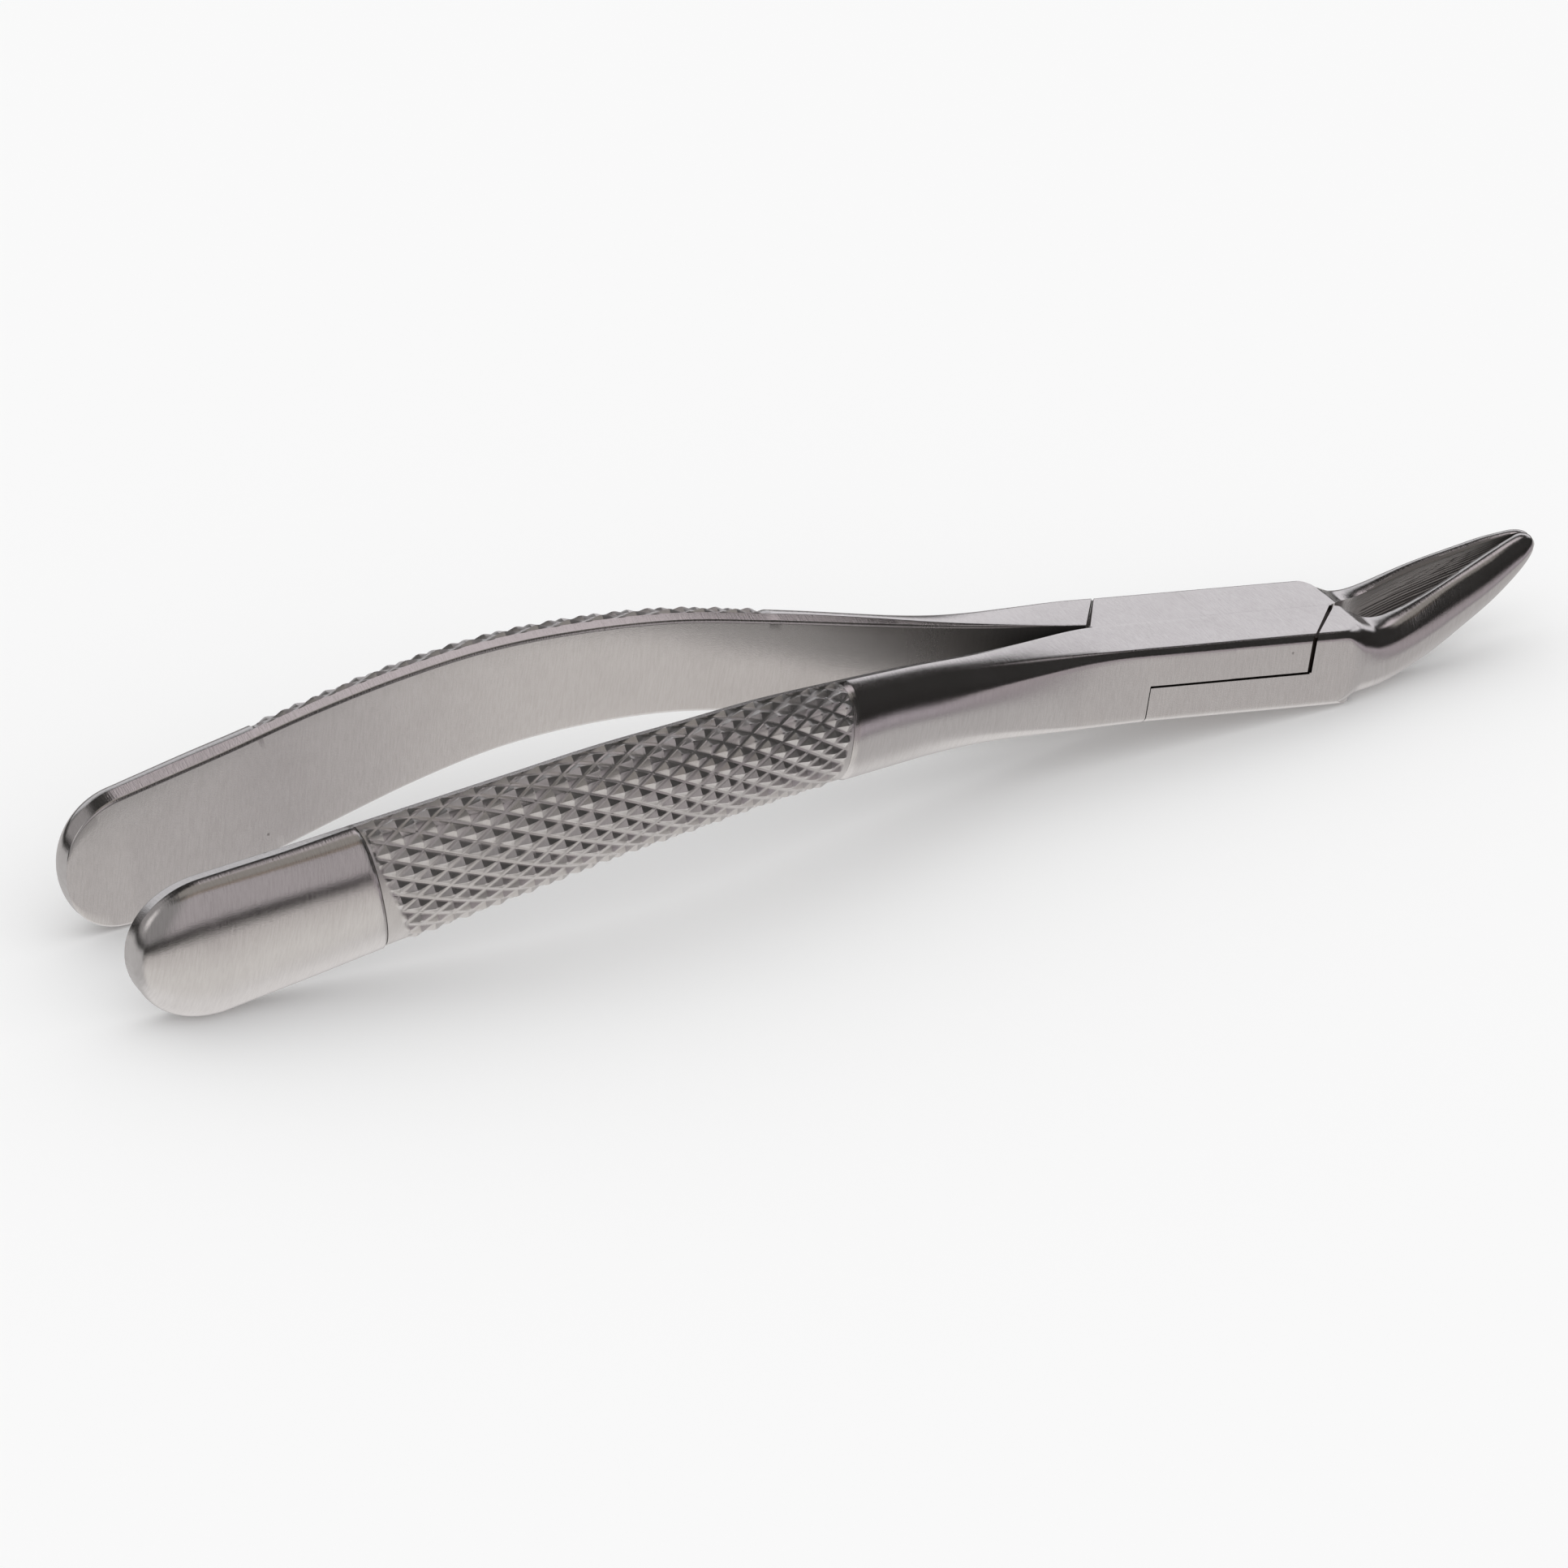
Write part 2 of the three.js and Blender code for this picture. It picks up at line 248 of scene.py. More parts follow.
def loft(rings: Sequence[np.ndarray]) -> tuple[np.ndarray, list[list[int]]]:
    """Closed skin over rings, capped by fans at both ends.

    Args:
        rings: rings with equal point counts.

    Returns:
        The points and the faces.
    """
    n = len(rings[0])
    points = np.vstack([*rings, rings[0].mean(0), rings[-1].mean(0)])
    faces = []
    for i in range(len(rings) - 1):
        for k in range(n):
            m = (k + 1) % n
            faces.append([i * n + k, (i + 1) * n + k, (i + 1) * n + m, i * n + m])
    first, last = len(points) - 2, len(points) - 1
    base = (len(rings) - 1) * n
    for k in range(n):
        m = (k + 1) % n
        faces.append([first, k, m])
        faces.append([last, base + m, base + k])
    return points, faces


def prism(
    outline: Sequence[tuple[float, float]], low: float, high: float
) -> tuple[np.ndarray, list[list[int]]]:
    """Upright prism over a plan outline.

    Args:
        outline: corners in plan.
        low: height of the underside.
        high: height of the top.

    Returns:
        The points and the faces.
    """
    n = len(outline)
    points = np.array([[x, y, z] for z in (low, high) for x, y in outline])
    faces = [[k, (k + 1) % n, n + (k + 1) % n, n + k] for k in range(n)]
    faces.append(list(range(n)))
    faces.append(list(range(n, 2 * n)))
    return points, faces


def cut(target: bpy.types.Object, tool: bpy.types.Object, operation: str) -> None:
    """Exact boolean, baked into its target.

    Args:
        target: object that is changed.
        tool: object that cuts or joins it; it is removed.
        operation: DIFFERENCE, UNION or INTERSECT.
    """
    modifier = target.modifiers.new("cut", "BOOLEAN")
    modifier.operation = operation
    modifier.solver = "EXACT"
    modifier.object = tool
    bake_modifiers(target)
    bpy.data.objects.remove(tool)


def bake_modifiers(obj: bpy.types.Object) -> None:
    """Replaces the mesh by what the modifiers make, and removes them.

    Args:
        obj: object with modifiers.
    """
    graph = bpy.context.evaluated_depsgraph_get()
    graph.update()
    mesh = bpy.data.meshes.new_from_object(obj.evaluated_get(graph))
    mesh.name = obj.name
    obj.modifiers.clear()
    old = obj.data
    obj.data = mesh
    bpy.data.meshes.remove(old)


def shade(obj: bpy.types.Object, angle_deg: float, weighted: bool = True) -> None:
    """Smooth shading that stays crisp past an angle and flat on large faces.

    Args:
        obj: object to shade.
        angle_deg: angle past which an edge is sharp.
        weighted: whether large faces rule the normals.
    """
    obj.data.shade_smooth()
    obj.data.set_sharp_from_angle(angle=math.radians(angle_deg))
    if weighted:
        modifier = obj.modifiers.new("even", "WEIGHTED_NORMAL")
        modifier.mode = "FACE_AREA"
        modifier.keep_sharp = True
        bake_modifiers(obj)


# ---------------------------------------------------------------- outlines of a section

ARC_STEPS = 14
FLAT_STEPS = 8
SIDE_STEPS = 16
OUTER_STEPS = 2 * ARC_STEPS + 2 * FLAT_STEPS + SIDE_STEPS


def bar_outer(inner: float, outer: float, half: float, radius: float) -> np.ndarray:
    """Outer path of a rounded bar, bottom to top.

    Args:
        inner: inner face, across.
        outer: outer face, across.
        half: half height.
        radius: rounding of the long edges.

    Returns:
        (across, up) pairs.
    """
    path = []
    for k in range(FLAT_STEPS):
        path.append((inner + (outer - radius - inner) * k / FLAT_STEPS, -half))
    for k in range(ARC_STEPS):
        a = math.pi / 2 * k / ARC_STEPS
        path.append((outer - radius + radius * math.sin(a), -half + radius * (1 - math.cos(a))))
    for k in range(SIDE_STEPS):
        path.append((outer, -half + radius + (2 * half - 2 * radius) * k / SIDE_STEPS))
    for k in range(ARC_STEPS):
        a = math.pi / 2 * k / ARC_STEPS
        path.append((outer - radius * (1 - math.cos(a)), half - radius + radius * math.sin(a)))
    for k in range(FLAT_STEPS + 1):
        path.append((outer - radius - (outer - radius - inner) * k / FLAT_STEPS, half))
    return np.array(path)


def dome_outer(inner: float, outer: float, half: float, power: float) -> np.ndarray:
    """Outer path of a D-shaped section, bottom to top.

    Args:
        inner: inner face, across.
        outer: top of the dome, across.
        half: half height.
        power: 2 is an ellipse, more is squarer.

    Returns:
        (across, up) pairs.
    """
    a = np.linspace(-math.pi / 2, math.pi / 2, OUTER_STEPS + 1)
    c = np.clip(np.cos(a), 0, None) ** (2 / power)
    s = np.sign(np.sin(a)) * np.abs(np.sin(a)) ** (2 / power)
    return np.stack([inner + (outer - inner) * c, half * s], 1)


# ---------------------------------------------------------------- handles


@dataclass
class Grip:
    """One handle with its shank, from the rounded end to the middle of the joint."""

    side: Side
    strip_width: float = 1.25
    end_strip_width: float = 1.6
    strip_lift: float = 0.37
    corner_round: float = 0.28
    corner_steps: int = 5
    end_radius: float = 7.4
    end_lean: float = 0.28
    cap_rings: int = 26
    cap_reach: float = 0.985
    cap_crowding: float = 0.9
    tip_share: float = 0.06
    end_slope: float = 0.27
    end_closing: float = 0.07
    end_power: float = 2.12
    cap_fullness: float = 0.7
    edge_round: float = 0.8
    dome_power: float = 2.25
    knurl_start: float = -100.8
    knurl_end: float = -47.9
    knurl_step: float = 0.25
    knurl_rim: float = 0.03
    core_sink: float = 0.9
    inner_steps: int = 10
    body_step: float = 0.7
    square_span: tuple[float, float] = (-38.0, -12.0)
    strip_end_span: tuple[float, float] = (-109.0, -100.0)
    strip_fade_span: tuple[float, float] = (-44.0, -20.0)
    strip_at_joint: float = 0.5
    lift_fade_span: tuple[float, float] = (-44.0, -18.0)
    corner_fade_span: tuple[float, float] = (-24.0, -16.0)
    seam: float = 0.02
    bevel: float = 0.09

    def pose(self, x: float) -> tuple[float, float, float]:
        """Height, lean and size of the section at x.

        Args:
            x: place along the handle.

        Returns:
            Centre height, lean of the axis and half height.
        """
        first = GRIP_STATIONS[0].x
        at = max(x, first)
        inward = max(x, first + 0.5)
        slope = along(GRIP_STATIONS, "mid", inward + 0.5) - along(GRIP_STATIONS, "mid", inward - 0.5)
        lean = math.atan(ease(x, first - 1.0, first + 9.0, self.end_slope, slope))
        mid = along(GRIP_STATIONS, "mid", at) + (x - at) * math.tan(lean)
        return mid, lean, along(GRIP_STATIONS, "half", at)

    def dome_path(self, x: float, shrink: float, sink: float) -> np.ndarray:
        """Curved outer part of the section at x, bottom to top.

        Args:
            x: place along the handle.
            shrink: share of the full size, less than 1 towards the end.
            sink: how far the path lies under the surface.

        Returns:
            (across, up) pairs.
        """
        at = max(x, GRIP_STATIONS[0].x)
        half = self.pose(x)[2] * shrink
        depth = along(GRIP_STATIONS, "depth", at)
        strip = self.strip(x)
        dome = strip + (depth - strip) * shrink**self.cap_fullness
        square = ease(x, *self.square_span, 0.0, 1.0)
        tall = half + self.lift(x) * shrink
        round_part = dome_outer(strip, dome, tall, self.dome_power)
        bar_part = bar_outer(strip, dome, tall, min(self.edge_round, tall * 0.5))
        path = round_part * (1 - square) + bar_part * square
        if sink:
            path[:, 0] = strip + (path[:, 0] - strip) * (1 - sink / (depth - strip))
            path[:, 1] *= 1 - sink / tall
        return path

    def strip(self, x: float) -> float:
        """Width of the flat strip along the edges of the inner face."""
        wide = ease(x, *self.strip_end_span, self.end_strip_width, self.strip_width)
        return ease(x, *self.strip_fade_span, wide, self.strip_at_joint)

    def lift(self, x: float) -> float:
        """Rise of the strip from the inner face to the dome."""
        return ease(x, *self.lift_fade_span, self.strip_lift, 0.0)

    def place(self, x: float, path: np.ndarray) -> np.ndarray:
        """Section points as joint-frame positions.

        Args:
            x: place along the handle.
            path: (across, up) pairs.

        Returns:
            One point per pair.
        """
        mid, lean, _ = self.pose(x)
        at = max(x, GRIP_STATIONS[0].x)
        inner = max(along(GRIP_STATIONS, "gap", at), GAP) + (x - at) * self.end_closing
        return np.stack([
            x - path[:, 1] * math.sin(lean),
            self.side.value * (inner + path[:, 0]),
            mid + path[:, 1] * math.cos(lean),
        ], 1)

    def ring(self, x: float, shrink: float = 1.0, sink: float = 0.0) -> np.ndarray:
        """Whole section at x.

        Args:
            x: place along the handle.
            shrink: share of the full size.
            sink: how far the dome lies under the surface.

        Returns:
            A ring of joint-frame points.
        """
        half = self.pose(x)[2] * shrink
        strip, rise = self.strip(x), self.lift(x) * shrink
        r = ease(x, *self.corner_fade_span, self.corner_round, 0.01) * (0.3 + 0.7 * shrink)
        face = [(0.0, u) for u in np.linspace(half - r, -half + r, self.inner_steps + 1)]
        tilt = rise / strip
        turns = [math.pi / 2 * (k + 1) / self.corner_steps for k in range(self.corner_steps)]
        corner = [
            (r * (1 - math.cos(a)), half - r + r * math.sin(a) + tilt * r * (1 - math.cos(a)))
            for a in turns
        ]
        top = [(strip - self.bevel, half + rise - self.bevel * tilt)] + corner[::-1]
        bottom = [(y, -z) for y, z in top[::-1]]
        dome = self.dome_path(x, shrink, sink)
        if sink:
            dome = np.vstack([[(strip, -half - rise)], dome, [(strip, half + rise)]])
        else:
            dome = np.vstack([[dome[0]], dome, [dome[-1]]])
            dome[[0, -1], 0] -= self.seam
        return self.place(x, np.vstack([face, bottom, dome, top]))

    def stops(self) -> list[tuple[float, float, float]]:
        """Where the rings of the handle lie.

        Returns:
            Place, shrink and sink of every ring.
        """
        end, start, stop = GRIP_STATIONS[0].x, self.knurl_start, self.knurl_end
        reach = self.end_radius * self.cap_reach * math.cos(self.end_lean)
        power = 2 / self.end_power
        out = []
        for k in range(self.cap_rings):
            a = math.pi / 2 * (k / self.cap_rings) ** self.cap_crowding
            share = max(math.sin(a) ** power, self.tip_share)
            out.append((end - reach * math.cos(a) ** power, share, 0.0))
        out += [(float(x), 1.0, 0.0) for x in np.arange(end, start - 0.5, 0.8)]
        out += [(start - 0.36, 1.0, 0.0), (start - 0.34, 1.0, 0.004)]
        out += [(start - self.knurl_rim, 1.0, self.knurl_step), (start, 1.0, self.core_sink)]
        out += [(float(x), 1.0, self.core_sink) for x in np.arange(start + 1.5, stop - 1.0, 1.5)]
        out += [(stop, 1.0, self.core_sink), (stop + self.knurl_rim, 1.0, self.knurl_step)]
        out += [(stop + 0.74, 1.0, 0.004), (stop + 0.78, 1.0, 0.0)]
        out += [(float(x), 1.0, 0.0) for x in np.arange(stop + 2 * self.body_step, 0.0, self.body_step)]
        return [*out, (0.0, 1.0, 0.0)]

    def build(self, name: str) -> bpy.types.Object:
        """Solid of the handle and shank."""
        return mesh_object(name, *loft([self.ring(*stop) for stop in self.stops()]))


# ---------------------------------------------------------------- knurl


@dataclass
class Knurl:
    """Crossed grooves that leave rows of pyramids round the outside of a grip."""

    grip: Grip
    lengths: float = 15.8
    rows: int = 9
    cuts: int = 14
    depth: float = 0.46
    proud: float = 0.12
    groove_flat: float = 0.2
    tip: float = 0.92
    smooth_level: float = -0.20
    uneven: float = 0.2
    seed: int = 7
    thickness: float = 0.7

    def grid(self) -> tuple[np.ndarray, np.ndarray, np.ndarray]:
        """Smooth surface that the grooves are cut into.

        Returns:
            Points, outward directions and (along, around) counts of pyramids.
        """
        g = self.grip
        nu = int(round(self.lengths * self.cuts))
        nv = self.rows * self.cuts
        points, counts = [], []
        for i in range(nu + 1):
            x = g.knurl_start + (g.knurl_end - g.knurl_start) * i / nu
            path = g.dome_path(x, 1.0, 0.0)
            steps = np.concatenate([[0], np.cumsum(np.hypot(*np.diff(path, axis=0).T))])
            want = np.linspace(0, steps[-1], nv + 1)
            even = np.stack([np.interp(want, steps, path[:, c]) for c in (0, 1)], 1)
            points.append(g.place(x, even))
            counts.append(np.stack([np.full(nv + 1, i / self.cuts), np.arange(nv + 1) / self.cuts], 1))
        points = np.array(points)
        out = np.cross(np.gradient(points, axis=0), np.gradient(points, axis=1))
        out /= np.linalg.norm(out, axis=2, keepdims=True)
        if (out[:, nv // 2, 1] * g.side.value).mean() < 0:
            out = -out
        return points, out, np.array(counts)

    def fade(self, counts: np.ndarray) -> np.ndarray:
        """How fully the grooves are cut.

        Args:
            counts: (along, around) counts of every grid point.

        Returns:
            0 to 1 at each grid point.
        """
        total = self.grip.knurl_end - self.grip.knurl_start
        u = counts[..., 0] * total / self.lengths
        low = 1 - counts[..., 1] / self.rows
        margin = 0.2 + 2.2 * np.clip(low * 1.5 - 0.4, 0, 1)
        start = np.clip((u - margin) / 0.35, 0, 1)
        end_margin = 0.1 + 1.5 * np.clip(low * 1.4 - 0.4, 0, 1)
        end = np.clip((total - u - end_margin) / 0.35, 0, 1)
        weak = 1 - 0.35 * np.clip(low * 2 - 1.0, 0, 1) * np.clip((u - 30) / 25, 0, 1)
        return start * end * weak

    def shell(self, nu: int, nv: int) -> list[list[int]]:
        """Triangles of the grid, split along the nearer groove.

        Args:
            nu: points along.
            nv: points around.

        Returns:
            The faces.
        """
        faces = []
        for i in range(nu - 1):
            for j in range(nv - 1):
                a, b = i * nv + j, (i + 1) * nv + j
                if self.to_groove(i - j) < self.to_groove(i + j + 1):
                    faces += [[a, b, b + 1], [a, b + 1, a + 1]]
                else:
                    faces += [[a, b, a + 1], [b, b + 1, a + 1]]
        return faces

    def to_groove(self, count: int) -> int:
        """Steps from a grid line to the nearest groove of its family."""
        over = count % self.cuts
        return min(over, self.cuts - over)

    def build(self, name: str) -> bpy.types.Object:
        """Knurled shell, closed through the body of the handle.

        Args:
            name: object name.

        Returns:
            The object, with its pyramids raised.
        """
        points, out, counts = self.grid()
        nu, nv = points.shape[0], points.shape[1]
        faces = self.shell(nu, nv)
        low = [points[i, 0] - out[i, 0] * self.thickness for i in range(nu)]
        high = [points[i, -1] - out[i, -1] * self.thickness for i in range(nu)]
        lo, hi = nu * nv, nu * nv + nu
        for i in range(nu - 1):
            faces.append([i * nv, lo + i, lo + i + 1, (i + 1) * nv])
            faces.append([i * nv + nv - 1, (i + 1) * nv + nv - 1, hi + i + 1, hi + i])
            faces.append([lo + i, hi + i, hi + i + 1, lo + i + 1])
        faces.append([lo, *range(0, nv), hi])
        faces.append([lo + nu - 1, *[(nu - 1) * nv + j for j in range(nv)], hi + nu - 1])
        obj = mesh_object(name, np.vstack([points.reshape(-1, 3), low, high]), faces)
        spare = np.zeros(2 * nu)
        turned = out.reshape(-1, 3) @ FRAME.matrix().T
        self.store(obj, "out", "FLOAT_VECTOR", np.vstack([turned, np.zeros((2 * nu, 3))]))
        self.store(obj, "along", "FLOAT", np.concatenate([counts[..., 0].ravel(), spare]))
        self.store(obj, "around", "FLOAT", np.concatenate([counts[..., 1].ravel(), spare]))
        self.store(obj, "fade", "FLOAT", np.concatenate([self.fade(counts).ravel(), spare]))
        self.raise_pyramids(obj)
        return obj

    @staticmethod
    def store(obj: bpy.types.Object, name: str, kind: str, values: np.ndarray) -> None:
        """Writes a point attribute.

        Args:
            obj: object that gets it.
            name: attribute name.
            kind: attribute type.
            values: one value or vector per point.
        """
        layer = obj.data.attributes.new(name, kind, "POINT")
        key = "vector" if kind == "FLOAT_VECTOR" else "value"
        layer.data.foreach_set(key, np.ascontiguousarray(values, np.float32).ravel())

    def raise_pyramids(self, obj: bpy.types.Object) -> None:
        """Runs the node tree that moves the grid out into pyramids, and bakes it.

        Args:
            obj: shell with its attributes.
        """
        tree = KnurlTree().build()
        modifier = obj.modifiers.new("knurl", "NODES")
        modifier.node_group = tree
        values = {
            "Groove Depth": self.depth * MM,
            "Proud": self.proud * MM,
            "Groove Flat": self.groove_flat,
            "Tip": self.tip,
            "Smooth Level": self.smooth_level * MM,
            "Uneven": self.uneven,
            "Seed": self.seed,
            "Steel": Finishes.KNURL.material(),
        }
        for item in tree.interface.items_tree:
            if item.item_type == "SOCKET" and item.in_out == "INPUT" and item.name in values:
                modifier[item.identifier] = values[item.name]
        bake_modifiers(obj)


@dataclass
class KnurlTree:
    """Node tree: two families of flat-bottomed V grooves, counted in whole pyramids."""

    name: str = "knurl"
    other_family: int = 500

    def build(self) -> bpy.types.NodeTree:
        """Makes the tree, once.

        Returns:
            The tree.
        """
        found = bpy.data.node_groups.get(self.name)
        if found:
            return found
        tree = bpy.data.node_groups.new(self.name, "GeometryNodeTree")
        tree.is_modifier = True
        self.nodes = n = Nodes(tree)
        face = tree.interface
        face.new_socket("Geometry", in_out="INPUT", socket_type="NodeSocketGeometry")
        sizes = (("Groove Depth", 0.0005), ("Proud", 0.0001), ("Groove Flat", 0.1), ("Tip", 0.93))
        for name, value in (*sizes, ("Smooth Level", -0.0002), ("Uneven", 0.1)):
            face.new_socket(name, in_out="INPUT", socket_type="NodeSocketFloat").default_value = value
        face.new_socket("Seed", in_out="INPUT", socket_type="NodeSocketInt").default_value = 7
        face.new_socket("Steel", in_out="INPUT", socket_type="NodeSocketMaterial")
        face.new_socket("Geometry", in_out="OUTPUT", socket_type="NodeSocketGeometry")
        start = tree.nodes.new("NodeGroupInput").outputs
        u, v, fade = self.read("along"), self.read("around"), self.read("fade")
        rising = self.cut(n.math("ADD", u, v), start, 0)
        falling = self.cut(n.math("SUBTRACT", u, v), start, self.other_family)
        nearest = n.math("MINIMUM", n.math("MINIMUM", rising, falling), 1.0)
        low = n.math("MULTIPLY", n.math("SUBTRACT", 1.0, nearest), start["Groove Depth"])
        level = n.math("SUBTRACT", start["Proud"], low)
        gap = n.math("SUBTRACT", level, start["Smooth Level"])
        height = n.math("ADD", start["Smooth Level"], n.math("MULTIPLY", gap, fade))
        out = self.read("out", "FLOAT_VECTOR")
        scale = n.add("ShaderNodeVectorMath", {"operation": "SCALE"}, i0=out, Scale=height)
        move = n.add("GeometryNodeSetPosition", Geometry=start["Geometry"], Offset=scale.outputs[0])
        real = n.add("GeometryNodeRealizeInstances", i0=move.outputs[0])
        dress = n.add("GeometryNodeSetMaterial", Geometry=real.outputs[0], Material=start["Steel"])
        n.add("NodeGroupOutput", Geometry=dress.outputs[0])
        return tree

    def read(self, name: str, kind: str = "FLOAT") -> Any:
        """Socket that reads a named attribute."""
        node = self.nodes.add("GeometryNodeInputNamedAttribute", {"data_type": kind}, Name=name)
        return node.outputs["Attribute"]

    def cut(self, count: Any, start: Any, first: int) -> Any:
        """Height over one family of grooves: 0 in the flat, 1 at the tips.

        Args:
            count: place across the grooves, a whole number at each.
            start: sockets of the tree's inputs.
            first: number that keeps this family's randomness its own.

        Returns:
            The socket of the height.
        """
        n = self.nodes
        away = n.math("MULTIPLY", n.math("PINGPONG", count, 0.5), 2.0)
        wall = n.math("SUBTRACT", start["Tip"], start["Groove Flat"])
        rise = n.math("DIVIDE", n.math("SUBTRACT", away, start["Groove Flat"]), wall)
        rise = n.math("MAXIMUM", rise, 0.0)
        number = n.math("ADD", n.math("ROUND", count), float(first))
        plain = {"data_type": "FLOAT"}
        chance = n.add("FunctionNodeRandomValue", plain, i2=0.0, ID=number, Seed=start["Seed"])
        shallow = n.math("MULTIPLY", chance.outputs[1], start["Uneven"])
        return n.math("ADD", shallow, n.math("MULTIPLY", rise, n.math("SUBTRACT", 1.0, shallow)))


# ---------------------------------------------------------------- beaks


@dataclass
class Beak:
    """One hollow beak with its neck, from the middle of the joint to the tip."""

    side: Side
    edge_round: float = 0.8
    power: float = 2.05
    flat_end: float = 17.0
    flat_from: float = 14.0
    dome_from: float = 28.0
    neck_round: float = 2.6
    inner_steps: int = 72
    tooth_pitch: float = 0.32
    tooth_depth: float = 0.055
    teeth_start: float = 19.5

    def teeth(self, x: float, up: np.ndarray, share: np.ndarray) -> np.ndarray:
        """How far the inner face is cut back by its lengthwise teeth.

        Args:
            x: place along the beak.
            up: heights of the face's points.
            share: the same heights, from 1 at the top to -1.

        Returns:
            One depth per point.
        """
        phase = up / self.tooth_pitch
        number = np.floor(phase)
        ragged = 0.9 * np.modf(np.abs(np.sin(number * 12.9898) * 43758.5453))[0]
        begun = np.clip((x - self.teeth_start - 1.6 * ragged) / 1.2, 0, 1)
        inside = np.clip((1 - np.abs(share)) / 0.08, 0, 1)
        saw = 1 - np.abs(2 * (phase - number) - 1)
        return self.tooth_depth * (0.55 + 0.45 * ragged) * saw * begun * inside

    def ring(self, x: float) -> np.ndarray:
        """Whole section at x.

        Args:
            x: place along the beak.

        Returns:
            A ring of joint-frame points.
        """
        value = {k: along(BEAK_STATIONS, k, x) for k in ("top", "bottom", "rim", "side", "hollow", "crown")}
        if x < self.flat_end:
            value["top"] = min(value["top"], BEAK_STATIONS[0].top)
        mid = (value["top"] + value["bottom"]) / 2
        half = (value["top"] - value["bottom"]) / 2
        share = np.linspace(1, -1, self.inner_steps + 1)
        up = half * share
        across = value["rim"] + value["hollow"] * (1 - share**2) + self.teeth(x, up, share)
        face = np.stack([across, up], 1)
        square = ease(x, self.flat_from, self.dome_from, 1.0, 0.0)
        dome = dome_outer(value["rim"], value["side"], half, self.power)
        c = (dome[:, 0] - value["rim"]) / (value["side"] - value["rim"])
        dome[:, 1] += value["crown"] * 4 * c * (1 - c) * np.sign(dome[:, 1])
        soft = ease(x, self.flat_from - 0.6, self.flat_end - 0.4, self.edge_round, self.neck_round)
        bar = bar_outer(value["rim"], value["side"], half, min(soft, half * 0.62))
        outer = dome * (1 - square) + bar * square
        ring = np.vstack([face[:-1], outer[:-1]])
        return np.stack([np.full(len(ring), x), self.side.value * ring[:, 0], mid + ring[:, 1]], 1)

    def build(self, name: str) -> bpy.types.Object:
        """Solid of the beak and neck."""
        stops = [0.0, 6.0, 12.0, 13.4, *np.arange(13.8, 37.2, 0.25), *np.arange(37.3, 39.05, 0.12), 39.1]
        return mesh_object(name, *loft([self.ring(float(x)) for x in stops]))


# ---------------------------------------------------------------- lap joint


@dataclass(frozen=True)
class Shoulder:
    """Straight shoulder that one half's plate ends on, seen in plan."""

    radius: float
    lean_deg: float

    def x_at(self, y: float, grow: float) -> float:
        """X of the line at distance y from the middle plane, moved out by grow."""
        a = math.radians(self.lean_deg)
        return (self.radius + grow - y * math.sin(a)) / math.cos(a)


